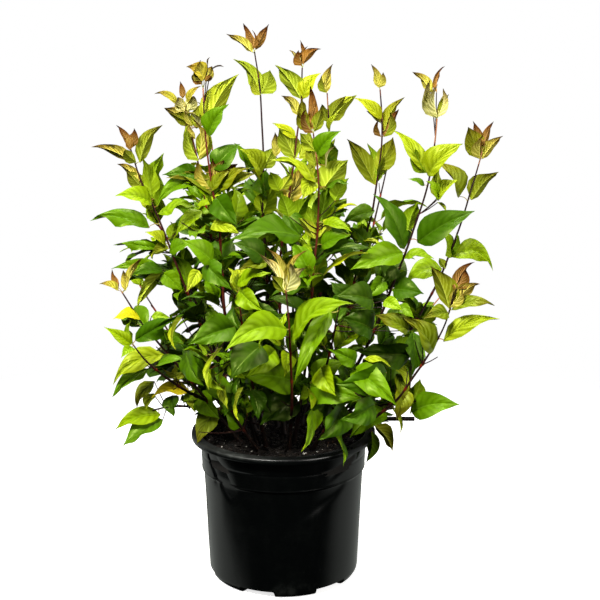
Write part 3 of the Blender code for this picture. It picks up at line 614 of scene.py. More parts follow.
        (208, 370, 224, 391, "fresh", 50, 10, 0.6), (222, 384, 228, 409, "lime", -20, 12, 0.4),
        (250, 388, 258, 420, "dark", 40, 6, 0.7), (234, 392, 224, 416, "deep", 40, 4, 0.7),
        (186, 350, 204, 386, "deep", 50, 0, 0.7),
    )),
    "front_left_mid": (0, (
        (236, 285, 271, 273, "fresh", 36, 5, 0.5), (238, 290, 264, 311, "fresh", 60, 10, 0.6),
        (296, 381, 239, 375, "green", 38, 14, 0.6), (276, 349, 246, 377, "fresh", 55, 16, 0.6),
        (287, 350, 284, 377, "fresh", 40, 18, 0.6), (298, 397, 260, 425, "dark", 30, 10, 0.7),
        (262, 386, 272, 414, "dark", 50, 4, 0.8), (250, 314, 284, 318, "dark", 40, 4, 0.6),
        (214, 262, 181, 240, "green", 50, 6, 0.66), (204, 262, 232, 290, "deep", 50, 10, 0.52),
        (199, 269, 186, 292, "lime", 40, 12, 0.5), (268, 262, 238, 270, "olive", 45, 6, 0.5),
        (232, 306, 240, 330, "deep", 60, 6, 0.7), (266, 258, 232, 243, "dark", 50, 2, 0.7),
    )),
}

# The crown's edge in the same picture points, and sky that shows through it: middle and half
# width and height. Leaves grown by the rule keep clear of both as the camera sees them, at the
# back of the crown too, where this bares the tips of back_left, back_right and side_right_low.
crownEdge = (
    (192, 444), (176, 420), (150, 396), (128, 360), (118, 332), (124, 308), (118, 272), (116, 248),
    (148, 240), (150, 226), (128, 205), (126, 188), (136, 168), (152, 158), (176, 166), (196, 160),
    (212, 158), (244, 142), (270, 146), (286, 124), (300, 104), (322, 100), (342, 104), (340, 130),
    (344, 160), (350, 184), (346, 198), (352, 208), (370, 214), (384, 204), (402, 202), (428, 182),
    (454, 186), (462, 212), (458, 236), (448, 256), (432, 270), (436, 300), (440, 336), (426, 362),
    (416, 378), (410, 404), (392, 424), (374, 436), (346, 428), (318, 438), (292, 428), (262, 428),
    (236, 420), (222, 436),
)
skyGaps = (
    (158, 298, 15, 17), (187, 336, 5, 4), (222, 302, 9, 13), (244, 203, 5, 12), (296, 194, 5, 13),
    (177, 194, 9, 6), (174, 216, 9, 5), (226, 254, 4, 6), (203, 385, 6, 5), (298, 221, 4, 7),
    (265, 218, 6, 6), (384, 218, 6, 9), (414, 246, 9, 5), (424, 292, 10, 12), (350, 270, 6, 8),
    (372, 278, 5, 6), (398, 329, 14, 4), (372, 338, 8, 5), (336, 351, 8, 7), (332, 322, 5, 12),
    (238, 232, 8, 5), (303, 372, 5, 9), (389, 385, 4, 4), (160, 404, 14, 9), (240, 348, 5, 5),
    (281, 170, 8, 4), (184, 422, 10, 12), (148, 344, 14, 6), (218, 140, 12, 10), (134, 291, 7, 11),
    (391, 232, 5, 10),
    (170, 306, 6, 10), (150, 323, 6, 5), (139, 330, 4, 6), (122, 325, 5, 3), (134, 386, 12, 6),
)

wood = {
    "leaderRadius": 0.0019,
    "leaderTip": 0.0009,
    "twigRadius": 0.0011,
    "twigTip": 0.0006,
    "shootRadius": 0.0008,
    "shootAge": 0.5,
    "ringStep": 0.0045,
    "sides": 10,
    "flare": 1.5,
    "bareNodes": 0.056,
    "nodeSwell": 0.42,
    "nodeWidth": 0.0026,
    "ridge": 0.07,
    "wander": 0.0011,
    # a cane pruned off short
    "pruned": ((78, 0, 192.3), (78, 0, 204), (96, -2, 216), (132, -6, 220), (179, -10, 221)),
    "prunedRadius": 0.003,
    # picture values from the youngest wood to the oldest
    "colours": (
        (0.0, (176, 118, 80)), (0.016, (124, 72, 50)), (0.03, (46, 26, 28)), (0.24, (40, 17, 14)),
        (0.45, (36, 17, 13)), (0.75, (27, 17, 13)), (1.0, (17, 13, 11)),
    ),
    "red": (122, 44, 28),
    # how red the upper wood of some canes is
    "redCanes": {
        "front_left_spire": 0.6, "front_centre": 0.6, "front_pale": 0.5, "left_crown": 0.35,
        "centre": 0.3, "left_tall": 0.12, "right_centre": 0.08, "front_left_mid": 0.3,
    },
    "streak": (34, 18, 13),
    "lenticel": (120, 86, 62),
    "knot": (164, 48, 18),
}


def mm(*values):
    return Vector(value / 1000 for value in values)


class Path:
    # a limb's centre line: a parabola from its foot through a passing point to its tip

    def __init__(self, foot, passing, tip):
        share = (passing - foot).length
        share /= share + (tip - passing).length
        pull = passing - foot * (1 - share) ** 2 - tip * share**2
        bend = pull / (2 * share * (1 - share))
        self.tip = tip
        t = np.linspace(0, 1, growth["pathSteps"] + 1)[:, None]
        self.measure(
            np.array(foot) * (1 - t) ** 2 + np.array(bend) * (2 * t * (1 - t)) + np.array(tip) * t**2
        )

    def measure(self, points):
        self.points = points
        strides = np.linalg.norm(np.diff(points, axis=0), axis=1)
        self.runs = np.concatenate(([0.0], np.cumsum(strides)))
        self.length = float(self.runs[-1])

    def nearestInPicture(self, across, down):
        gaps = [math.dist(inPicture(point), (across, down)) for point in self.points]
        nearest = int(np.argmin(gaps))
        return nearest, gaps[nearest]

    def pullThrough(self, places):
        # shifted sideways to pass some picture places, and ended at the highest of them
        if not places:
            return
        heights, shifts = [self.points[0, 2]], [0.0]
        for across, down in reversed(places):
            nearest = self.nearestInPicture(across, down)[0]
            wanted = atPicture(across, down, self.points[nearest, 1])
            heights.append(wanted.z)
            shifts.append(wanted.x - np.interp(wanted.z, self.points[:, 2], self.points[:, 0]))
        points = self.points.copy()
        shift = np.interp(points[:, 2], heights, shifts)
        for _ in range(growth["smoothings"]):
            shift[1:-1] = (shift[2:] + 2 * shift[1:-1] + shift[:-2]) / 4
        points[:, 0] += shift
        self.measure(points[points[:, 2] < heights[-1] + 0.001])
        self.tip = self.along(self.length)

    def along(self, distance):
        return Vector(np.interp(distance, self.runs, self.points[:, axis]) for axis in range(3))

    def heading(self, distance):
        return (self.along(distance + 0.002) - self.along(distance - 0.002)).normalized()

    def distanceAtHeight(self, height):
        above = np.nonzero(self.points[1:, 2] >= height)[0]
        return float(self.runs[above[0]]) if len(above) else self.length / 2


class Mass:
    # one cane's or bough's leader above its bare length, with what grows on it

    def __init__(self, name, node, path, start, radius, leafSize, bearing, number):
        self.name = name
        self.nodes = node
        self.path = path
        self.start = start
        self.radius = radius
        self.leafSize = leafSize * growth["leafScale"]
        self.bearing = math.radians(bearing)
        # draws of their own for the twigs and pairs, the measured leaves and the rule's leaves
        self.chance = random.Random(growth["firstSeed"] + number)
        self.dice = random.Random(growth["firstSeed"] * 3 + number)
        self.extra = random.Random(growth["firstSeed"] * 2 + number)
        self.twigs = []
        self.ruleEnds = path.length
        if name in frontLeaves:
            ruleAbove = frontLeaves[name][0]
            share = start / path.length
            path.pullThrough(leaders.get(name, ()))
            self.start = min(start, share * path.length)
            self.ruleEnds = path.length
            if ruleAbove:
                nearest = min(
                    range(len(path.points)), key=lambda i: abs(inPicture(path.points[i])[1] - ruleAbove)
                )
                self.ruleEnds = float(path.runs[nearest])

    def stations(self):
        distance = self.start + growth["firstPair"]
        while distance < min(self.path.length - growth["tipInternode"], self.ruleEnds):
            share = (distance - self.start) / (self.path.length - self.start)
            yield distance, share
            distance += growth["internode"] + (growth["tipInternode"] - growth["internode"]) * share


def planMasses():
    masses = []

    def add(name, limb, foot, passing, tip, bare, radius, leaf, bearing):
        path = Path(foot, mm(*passing), mm(*tip))
        start = path.distanceAtHeight(bare / 1000)
        nodes = (f"{limb}_{name}", f"foliage_{name}")
        masses.append(Mass(name, nodes, path, start, radius / 1000, leaf / 1000, bearing, len(masses)))

    for name, (foot, *rest) in canes.items():
        add(name, "stem", Vector((*mm(*foot), growth["soilTop"])), *rest)
    for name, (parent, fork, *rest) in boughs.items():
        path = masses[list(canes).index(parent)].path
        add(name, "bough", path.along(path.distanceAtHeight(fork / 1000)), *rest)
    return masses


def overSky(places):
    # whether any of some picture places lies past the crown's edge or in a gap through it
    for across, down in places:
        if any(math.hypot((across - u) / ru, (down - v) / rv) < 1 for u, v, ru, rv in skyGaps):
            return True
        crossed = 0
        for (u, v), (nextU, nextV) in zip(crownEdge, crownEdge[1:] + crownEdge[:1]):
            if (v > down) != (nextV > down) and across < u + (nextU - u) * (down - v) / (nextV - v):
                crossed += 1
        if crossed % 2 == 0:
            return True
    return False


def bearingFrame(heading, bearing):
    level = Vector((math.cos(bearing), math.sin(bearing), 0))
    return (level - heading * level.dot(heading)).normalized()


class Room:
    # each mass keeps to what lies nearest to its own leader and twigs; leaves cross few others

    def __init__(self, masses):
        self.masses = masses
        self.own = {}
        self.low = np.zeros((0, 3))
        self.high = np.zeros((0, 3))
        self.trees = []
        self.weights = []
        self.shown = np.zeros((0, 4))
        reach = growth["reachBeyondBox"]
        self.boxLow = np.array(cadBox[0]) - reach
        self.boxHigh = np.array(cadBox[1]) + reach

    def settle(self):
        for mass in self.masses:
            reaches = np.arange(mass.start, mass.path.length, 0.008)
            points = [mass.path.along(reach) for reach in reaches]
            for foot, tip in mass.twigs:
                points += [foot.lerp(tip, i / 6) for i in range(1, 7)]
            tree = KDTree(len(points))
            for number, point in enumerate(points):
                tree.insert(point, number)
            tree.balance()
            self.own[mass.name] = tree

    def inOwnSpace(self, mass, point, margin=0.0015):
        nearest = self.own[mass.name].find(point)[2] + margin
        return all(
            other is mass or self.own[other.name].find(point)[2] > nearest for other in self.masses
        )

    def fitsBox(self, verts):
        points = np.array(verts)
        return bool((points > self.boxLow).all() and (points < self.boxHigh).all())

    def crossings(self, points):
        low, high = np.min(points, axis=0), np.max(points, axis=0)
        if not self.trees:
            return 0
        near = np.nonzero(((self.low < high) & (self.high > low)).all(axis=1))[0]
        tree = BVHTree.FromPolygons(points, coarseFaces)
        return sum(self.weights[i] for i in near if tree.overlap(self.trees[i]))

    def show(self, plan, row):
        # keeps the middle of a leaf of the front view free of what would stand before it
        middle = (row[0] + row[2]) / 2, (row[1] + row[3]) / 2
        half = math.dist(row[:2], row[2:4]) * growth["keptClear"]
        self.shown = np.vstack((self.shown, (*middle, half, plan["root"].y)))

    def hidesShown(self, points):
        for point in points:
            across, down = inPicture(point)
            gaps = np.hypot(self.shown[:, 0] - across, self.shown[:, 1] - down)
            if ((gaps < self.shown[:, 2]) & (self.shown[:, 3] > point[1])).any():
                return True
        return False

    def take(self, points, weight=1):
        self.weights.append(weight)
        self.low = np.vstack((self.low, np.min(points, axis=0)))
        self.high = np.vstack((self.high, np.max(points, axis=0)))
        self.trees.append(BVHTree.FromPolygons(points, coarseFaces))


def growLowShoots(mass):
    low = growth["lowShoots"]
    height = low["from"] + mass.chance.uniform(0, low["spacing"])
    turn = mass.bearing
    while height < mass.path.along(mass.start).z and mass.nodes[0].startswith("stem"):
        turn += math.pi / 2 + mass.chance.uniform(-0.5, 0.5)
        distance = mass.path.distanceAtHeight(height)
        foot, heading = mass.path.along(distance), mass.path.heading(distance)
        height += low["spacing"]
        for side in (0.0, math.pi):
            outwards = bearingFrame(heading, turn + side)
            lift = mass.chance.uniform(0.1, 0.7)
            tip = foot + (outwards + heading * lift).normalized() * mass.chance.uniform(*low["lengths"])
            if mass.chance.random() < low["chance"] and not overSky([inPicture(tip)]):
                mass.twigs.append((foot, tip))


def growTwigs(mass, room):
    for number, (distance, share) in enumerate(mass.stations()):
        if number % 2 or share > growth["twigsEnd"]:
            continue
        heading = mass.path.heading(distance)
        skew = growth["twigSkew"]
        bearing = mass.bearing + number * math.pi / 2 + mass.chance.uniform(-skew, skew)
        for turn in (0.0, math.pi):
            if mass.chance.random() > growth["twigChance"]:
                continue
            outwards = bearingFrame(heading, bearing + turn)
            lift = mass.chance.uniform(*growth["twigLifts"])
            length = mass.leafSize * mass.chance.uniform(*growth["twigLengths"])
            length *= 1 - growth["twigsShrink"] * share
            foot = mass.path.along(distance)
            tip = foot + (outwards + heading * lift).normalized() * length
            if overSky([inPicture(tip)]):
                continue
            if all(room.inOwnSpace(mass, foot.lerp(tip, part)) for part in (0.6, 1.0)):
                mass.twigs.append((foot, tip))


leafForm = {
    # half width at points along the blade, from its base to its drawn-out tip
    "outline": (
        (0.0, 0.05), (0.03, 0.22), (0.08, 0.50), (0.15, 0.77), (0.23, 0.95), (0.32, 1.0),
        (0.43, 0.95), (0.54, 0.82), (0.64, 0.64), (0.73, 0.45), (0.81, 0.28), (0.88, 0.15),
        (0.94, 0.07), (1.0, 0.012),
    ),
    "sweep": {"mature": (1.5, 1.35), "young": (2.7, 1.15)},  # of the veins: reach and bend
    "youngFrom": 0.5,
    "thickness": 0.00034,
    "rib": 0.00045,
    "groove": 0.00040,
    # mature and young values
    "width": (0.62, 0.44),
    "fold": (32, 50),
    "foldSpread": 10,
    "curl": 0.5,  # how far the fold has flattened at the margin
    "rise": (0.40, 0.46),
    "droop": (1.05, 1.15),
    "droopSpread": 0.3,
    "droopPower": (1.5, 2.0),
    "bow": 0.05,  # sideways, as a share of the length
    "quilt": (0.024, 0.03),
    "wave": (0.062, 0.04),
    "twist": 0.35,
    "petiole": (0.013, 0.003),
    "largeFrom": 0.030,
    "stalk": {"radius": 0.00062, "green": (142, 150, 60), "red": (150, 70, 44)},
}


def bladeTemplate(veinPairs, across, sweep):
    # a grid whose rows follow the veins: they leave the midrib and sweep towards the tip
    reach, bend = leafForm["sweep"][sweep]
    steps = 2 * veinPairs + 2
    rows = np.arange(steps + 1) / steps
    s, t = np.meshgrid(rows, np.array(across), indexing="ij")
    onMidrib = 0.74 * s + 0.26 * s**5
    onMargin = 1 - (1 - s) ** reach
    u = onMidrib + (onMargin - onMidrib) * np.abs(t) ** bend
    rowCount, columnCount = s.shape
    upper = np.arange(rowCount * columnCount).reshape(rowCount, columnCount)
    lower = upper.copy()
    inner = np.arange((rowCount - 2) * (columnCount - 2)).reshape(rowCount - 2, columnCount - 2)
    lower[1:-1, 1:-1] = upper.size + inner
    faces, corners, sides = [], [], []
    for sheet, (grid, order) in enumerate(((upper, (0, 1, 2, 3)), (lower, (0, 3, 2, 1)))):
        for i in range(rowCount - 1):
            for j in range(columnCount - 1):
                cell = ((i, j), (i, j + 1), (i + 1, j + 1), (i + 1, j))
                cell = [cell[k] for k in order]
                faces.append([grid[c] for c in cell])
                corners.append([(s[c], t[c]) for c in cell])
                sides.append(sheet)
    pick = np.s_[1:-1, 1:-1]
    flat = {
        "s": np.concatenate((s.ravel(), s[pick].ravel())),
        "t": np.concatenate((t.ravel(), t[pick].ravel())),
        "u": np.concatenate((u.ravel(), u[pick].ravel())),
        "below": np.concatenate((np.zeros(s.size), np.ones(s[pick].size))),
    }
    flat["half"] = np.interp(flat["u"], *zip(*leafForm["outline"]))
    flat["veins"] = flat["s"] * (veinPairs + 1)
    flat["faces"] = np.array(faces)
    flat["corners"] = np.array(corners)
    flat["sides"] = np.array(sides)
    return flat


largeColumns = (-1, -0.74, -0.40, -0.09, 0, 0.09, 0.40, 0.74, 1)
smallColumns = (-1, -0.55, 0, 0.55, 1)
blades = {
    ("large", "mature"): bladeTemplate(6, largeColumns, "mature"),
    ("large", "young"): bladeTemplate(6, largeColumns, "young"),
    ("small", "mature"): bladeTemplate(4, smallColumns, "mature"),
    ("small", "young"): bladeTemplate(5, smallColumns, "young"),
}
coarseBlade = {
    "s": np.array([0, 0.4, 0.4, 0.4, 0.8, 1.0]),
    "t": np.array([0, -1, 0, 1, 0, 0]),
    "u": np.array([0, 0.4, 0.4, 0.4, 0.8, 1.0]),
    "below": np.zeros(6),
    "half": np.array([0, 0.95, 0, 0.95, 0, 0]),
    "veins": np.zeros(6),
}
coarseFaces = [(0, 1, 2), (0, 2, 3), (1, 4, 2), (2, 4, 3), (1, 5, 4), (3, 4, 5)]


archSamples = np.linspace(0, 1, 25)


def archAngle(rise, droop, power):
    # slope of the midrib along the blade
    return rise - droop * archSamples**power


def bladePoints(form, leaves):
    # every leaf's points at once: the midrib's arch first, then the folded, quilted lamina
    def column(name):
        return np.array([leaf[name] for leaf in leaves], float)[:, None]

    angle = archAngle(column("rise"), column("droop"), column("droopPower"))
    length = column("length")
    strides = np.cos(angle), np.sin(angle)
    runs = []
    for stride in strides:
        middle = (stride[:, 1:] + stride[:, :-1]) / 2 * (archSamples[1] - archSamples[0])
        runs.append(np.concatenate((np.zeros((len(leaves), 1)), np.cumsum(middle, axis=1)), axis=1))
    place = form["u"] * (len(archSamples) - 1)
    before = np.minimum(place.astype(int), len(archSamples) - 2)
    part = place - before

    def at(values):
        return values[:, before] * (1 - part) + values[:, before + 1] * part

    forwards, upwards, angle = at(runs[0]) * length, at(runs[1]) * length, at(angle)
    s, t, u = form["s"], form["t"], form["u"]
    spread = np.abs(t) * form["half"] * column("width") / 2 * length
    fold = column("fold") * (1 - leafForm["curl"] * np.abs(t))
    betweenVeins = np.sin(math.pi * form["veins"]) ** 2
    inLamina = np.clip(1 - np.abs(np.abs(t) - 0.5) * 1.7, 0, 1) * np.clip(form["half"] * 1.4, 0, 1)
    off = column("quilt") * length * betweenVeins * inLamina
    margin = t**2 * np.where(t > 0, 1.0, -1.0)
    ripple = np.sin(2 * math.pi * (1.6 * s + column("phase"))) * np.abs(margin)
    ripple = ripple + 0.5 * np.sin(2 * math.pi * (2.9 * s - column("phase") * 3)) * margin
    off = off + column("wave") * length * ripple * np.sin(math.pi * np.clip(u, 0, 1))
    onRib = np.exp(-((t / 0.06) ** 2)) * np.clip(1.2 - u, 0, 1)
    off = off - leafForm["groove"] * onRib * (1 - form["below"])
    veinRib = (1 - betweenVeins) * inLamina * 0.35
    off = off - form["below"] * (leafForm["thickness"] + leafForm["rib"] * (onRib + veinRib))
    lateral = np.sign(t) * (spread * np.cos(fold) - off * np.sin(fold))
    height = spread * np.sin(fold) + off * np.where(t == 0, 1.0, np.cos(fold))
    turn = column("twist") * u
    bow = column("bow") * length * 4 * u * (1 - u)
    lateral, height = (
        bow + lateral * np.cos(turn) - height * np.sin(turn),
        lateral * np.sin(turn) + height * np.cos(turn),
    )
    forwards = forwards - height * np.sin(angle)
    upwards = upwards + height * np.cos(angle)
    root = np.array([leaf["root"] for leaf in leaves], float)[:, None, :]
    along = np.array([leaf["along"] for leaf in leaves], float)
    up = np.array([leaf["up"] for leaf in leaves], float)
    side = np.cross(up, along)
    side /= np.linalg.norm(side, axis=1, keepdims=True)
    over = np.cross(along, side)
    return (
        root
        + forwards[..., None] * along[:, None, :]
        + lateral[..., None] * side[:, None, :]
        + upwards[..., None] * over[:, None, :]
    )


def between(values, share):
    return values[0] + (values[1] - values[0]) * share


leafTries = (
    # share of the length, turn about the stem, extra lift
    (1.0, 0.0, 0.0),
    (0.94, 0.22, 0.12),
    (0.92, -0.22, -0.1),
    (0.84, 0.42, -0.15),
    (0.82, -0.42, 0.2),
    (0.7, 0.1, 0.35),
)


def leafPlan(heading, outwards, foot, lift, length, youth, dice):
    reach = between(leafForm["petiole"], youth) * length / 0.07 * dice.uniform(0.8, 1.2)
    stalk = (outwards + heading * (0.55 + 0.9 * max(lift, 0))).normalized()
    along = (outwards + heading * lift).normalized()
    root = foot + stalk * reach
    sky = Vector((0, 0, 1)) + Vector(dice.uniform(-0.3, 0.3) for _ in range(3))
    up = heading * 0.75 + sky * between((0.75, 0.2), youth)
    if abs(up.normalized().dot(along)) > 0.96:
        up = heading.cross(along).cross(along)
    fold = between(leafForm["fold"], youth) + dice.uniform(-1, 1) * leafForm["foldSpread"]
    droop = between(leafForm["droop"], youth) + dice.uniform(-1, 1) * leafForm["droopSpread"]
    plan = {
        "root": root,
        "along": along,
        "up": up,
        "foot": foot,
        "stalk": stalk,
        "length": length,
        "width": between(leafForm["width"], youth) * dice.uniform(0.88, 1.1),
        "fold": math.radians(fold),
        "rise": between(leafForm["rise"], youth) * dice.uniform(0.5, 1.4),
        "droop": droop,
        "droopPower": between(leafForm["droopPower"], youth),
        "quilt": between(leafForm["quilt"], youth),
        "wave": between(leafForm["wave"], youth) * dice.uniform(0.3, 1.5),
        "phase": dice.random(),
        "twist": dice.uniform(-1, 1) * leafForm["twist"] * (1 - 0.6 * youth),
        "tone": dice.random(),
    }
    plan["bow"] = leafForm["bow"] * (2 * plan["phase"] - 1)
    return plan


def addLeaf(leaves, room, mass, heading, outwards, foot, lift, length, youth, kind):
    # the first try that crosses no leaf, or else the one that crosses the fewest
    best = None
    for share, turn, extraLift in leafTries:
        side = heading.cross(outwards)
        way = (outwards * math.cos(turn) + side * math.sin(turn)).normalized()
        plan = leafPlan(heading, way, foot, lift + extraLift, length * share, youth, mass.extra)
        points = bladePoints(coarseBlade, [plan])[0].tolist()
        if not room.fitsBox(points) or not room.inOwnSpace(mass, Vector(points[4]), -0.012):
            continue
        if overSky([inPicture(point) for point in points[1:]]):
            continue
        if room.hidesShown(points[1:]):
            continue
        crossed = room.crossings(points)
        if best is None or crossed < best[0]:
            best = (crossed, plan, points)
        if crossed == 0:
            break
    if best is None or best[0] > growth["mostCrossings"]:
        return
    room.take(best[2])
    best[1]["kind"] = kind
    best[1]["young"] = youth
    leaves.append(best[1])


def chordOf(plan):
    # how far forwards and upwards the tip of a leaf one unit long comes
    angle = archAngle(plan["rise"], plan["droop"], plan["droopPower"])
    middle = (angle[1:] + angle[:-1]) / 2
    return float(np.cos(middle).mean()), float(np.sin(middle).mean())


def placeLeaf(leaves, room, mass, spurs, row):
    # one leaf of the front view: its arch is turned so that the tip comes where the row says
    across, down, tipAcross, tipDown, kind, face, nearer, *own = row
    breadth, arch, bow = (*own, *(None, growth["shownArch"], 0.0)[len(own):])
    nearest, gap = mass.path.nearestInPicture(across, down)
    onPath = Vector(mass.path.points[nearest])
    root = atPicture(across, down, onPath.y)
    heading = mass.path.heading(mass.path.runs[nearest])
    foot = onPath
    if gap > growth["onLeader"]:
        foot = root
        spurs.append((Vector(mass.path.points[max(0, nearest - 9)]), root))
    far = atPicture(tipAcross, tipDown, root.y)
    level = 1 - max(0.0, far.z - root.z) / (far - root).length
    lean = growth["frontLean"] * min(1.0, max(0.0, -root.y / growth["frontDepth"])) * level
    tip = atPicture(tipAcross, tipDown, root.y - nearer / 1000 - lean * (far - root).length)
    youth = leafKinds[kind][2]
    way = (tip - root).normalized()
    root += way * 0.002
    plan = leafPlan(heading, way, foot, 0.0, 1.0, youth, mass.dice)
    above = heading - way * way.dot(heading)
    if above.length < 0.15:
        above = Vector((0, 0, 1)) - way * way.z
    above.normalize()
    toEye = Vector(view["place"]) - root
    beside = above.cross(way)
    beside *= math.copysign(1.0, beside.dot(toEye))
    turn = math.radians(face + mass.dice.uniform(-8, 8))
    above = above * math.cos(turn) + beside * math.sin(turn)
    for name in ("rise", "droop"):
        plan[name] *= arch
    forwards, upwards = chordOf(plan)
    lean = math.atan2(upwards, forwards)
    plan["root"] = root
    plan["along"] = way * math.cos(lean) - above * math.sin(lean)
    plan["up"] = way * math.sin(lean) + above * math.cos(lean)
    plan["length"] = (tip - root).length / math.hypot(forwards, upwards)
    plan["stalk"] = (way + heading * 0.5).normalized()
    plan["twist"] *= 0.5
    if breadth:
        plan["width"] = breadth
    side = plan["up"].cross(plan["along"])
    plan["bow"] = math.copysign(bow, bow * side.dot(toEye.cross(way)))
    plan["kind"] = kind
    plan["young"] = youth
    points = bladePoints(coarseBlade, [plan])[0].tolist()
    room.take(points, 3)
    room.show(plan, row)
    leaves.append(plan)


leafColour = {
    "blush": (106, 50, 18),
    "tip": (40, 20, 12),
    "sheen": (0.84, 1.0, 0.28),
    "blushShare": {"bronze": 0.9, "gold": 0.7, "cream": 0.6, "olive": 0.3},
    # light reaching the leaf, and the kind that it then is: the darker kinds, given where less light
    # reaches, are partly the leaves' own colour and partly painted shade of the crown
    "steps": ((0.22, "dark"), (0.42, "deep"), (0.66, "green"), (0.84, "fresh")),
    # how strongly each kind takes the painted shade in its veins and the painted highlight between them
    "stripes": {"bronze": 0.6, "gold": 0.9, "cream": 0.9, "olive": 0.5, "lime": 0.65, "fresh": 0.35},
    "otherStripes": 0.14,
}

# Picture values of the upper side and the lower side of each kind of leaf, and how young it is. The
# deep and dark kinds are partly painted shade, for leaves in the crown's shade.
leafKinds = {
    "bud": ((56, 38, 32), (62, 42, 34), 1.0),
    "bronze": ((124, 88, 24), (136, 98, 34), 1.0),
    "gold": ((172, 166, 40), (180, 174, 60), 0.9),
    "cream": ((206, 204, 104), (210, 208, 120), 0.9),
    "olive": ((108, 126, 6), (130, 142, 22), 0.65),
    "lime": ((154, 172, 14), (162, 180, 38), 0.6),
    "fresh": ((124, 158, 0), (138, 168, 20), 0.35),
    "green": ((88, 130, 0), (118, 148, 12), 0.2),
    "deep": ((58, 98, 0), (94, 126, 10), 0.1),
    "dark": ((38, 70, 0), (70, 98, 8), 0.0),
    "yellowed": ((206, 200, 20), (200, 194, 50), 0.3),
}


def kindFor(share, height, dice):
    # share is 0 where the leader's leaves start and 1 at its tip
    # more light higher up and nearer the tip; the darker kinds this gives low down are partly painted
    # shade
    light = 0.12 + share * 0.42 + (height - 0.2) / 0.55 * 0.46 + dice.uniform(-0.27, 0.27)
    for limit, kind in leafColour["steps"]:
        if light < limit:
            return kind
    return "lime"


def tipCluster(leaves, room, mass, tip, heading, bearing, size, kind):
    # a spreading pair, then a smaller, upright and folded one that crosses it
    dice = mass.extra
    for turn in range(4):
        inner = turn % 2 == 1
        foot = tip - heading * (0.001 if inner else 0.009) * (size / 0.07)
        outwards = bearingFrame(heading, bearing + turn * math.pi / 2)
        lift = dice.uniform(2.2, 3.2) if inner else dice.uniform(0.5, 1.2)
        length = size * (dice.uniform(0.28, 0.4) if inner else dice.uniform(0.55, 0.72))
        youth = 0.9 if inner else 0.4
        addLeaf(leaves, room, mass, heading, outwards, foot, lift, length, youth, kind)


def growLeaves(mass, room, leaves, shoots):
    dice = mass.extra
    if mass.ruleEnds >= mass.path.length:
        heading = mass.path.heading(mass.path.length)
        tip = mass.path.along(mass.path.length)
        kind = kindFor(1.0, tip.z, dice)
        tipCluster(leaves, room, mass, tip, heading, mass.bearing, mass.leafSize, kind)
    base = growth["lowPairLift"] if mass.path.tip.z < growth["lowCane"] else growth["pairLift"]
    for number, (distance, share) in enumerate(mass.stations()):
        heading = mass.path.heading(distance)
        bearing = mass.bearing + number * math.pi / 2
        size = mass.leafSize * (1 - growth["shrinksToTip"] * share**1.6)
        foot = mass.path.along(distance)
        for turn in (0.0, math.pi):
            skew = mass.chance.uniform(-growth["pairSkew"], growth["pairSkew"])
            outwards = bearingFrame(heading, bearing + turn + skew)
            lift = base + growth["tipPairLift"] * share
            lift += mass.chance.uniform(-growth["liftSpread"], growth["liftSpread"])
            length = size * mass.chance.uniform(0.92, 1.1)
            kind = kindFor(share, foot.z, dice)
            youth = min(1.0, share**2 * 0.9)
            addLeaf(leaves, room, mass, heading, outwards, foot, lift, length, youth, kind)
    for foot, tip in mass.twigs:
        twigHeading = (tip - foot).normalized()
        bearing = mass.chance.uniform(0, math.pi)
        share = min(1.0, (foot - mass.path.along(mass.start)).length / (mass.path.length - mass.start))
        for at, size, young in ((0.42, 0.74, 0.0), (0.78, 0.66, 0.1)):
            for turn in (0.0, math.pi):
                outwards = bearingFrame(twigHeading, bearing + turn)
                lift = mass.chance.uniform(0.3, 0.8)
                length = mass.leafSize * size * mass.chance.uniform(0.85, 1.15)
                spot = foot.lerp(tip, at)
                kind = kindFor(share, spot.z, dice)
                addLeaf(leaves, room, mass, twigHeading, outwards, spot, lift, length, young, kind)
            bearing += math.pi / 2
        kind = kindFor(min(1, share + 0.15), tip.z, dice)
        tipCluster(leaves, room, mass, tip, twigHeading, bearing, mass.leafSize * 0.8, kind)
    for number, (distance, share) in enumerate(mass.stations()):
        heading = mass.path.heading(distance)
        bearing = mass.bearing + number * math.pi / 2
        for turn in (0.0, math.pi):
            if dice.random() > growth["shootChance"]:
                continue
            outwards = bearingFrame(heading, bearing + turn + dice.uniform(-0.3, 0.3))
            foot = mass.path.along(distance)
            way = (outwards + heading * dice.uniform(0.8, 1.5)).normalized()
            end = foot + way * dice.uniform(*growth["shootLengths"])
            shoots.append((foot, end))
            size = mass.leafSize * dice.uniform(*growth["shootLeaves"]) / 0.55
            kind = kindFor(min(1, share + 0.15), end.z, dice)
            tipCluster(leaves, room, mass, end, way, bearing + 0.6, size, kind)


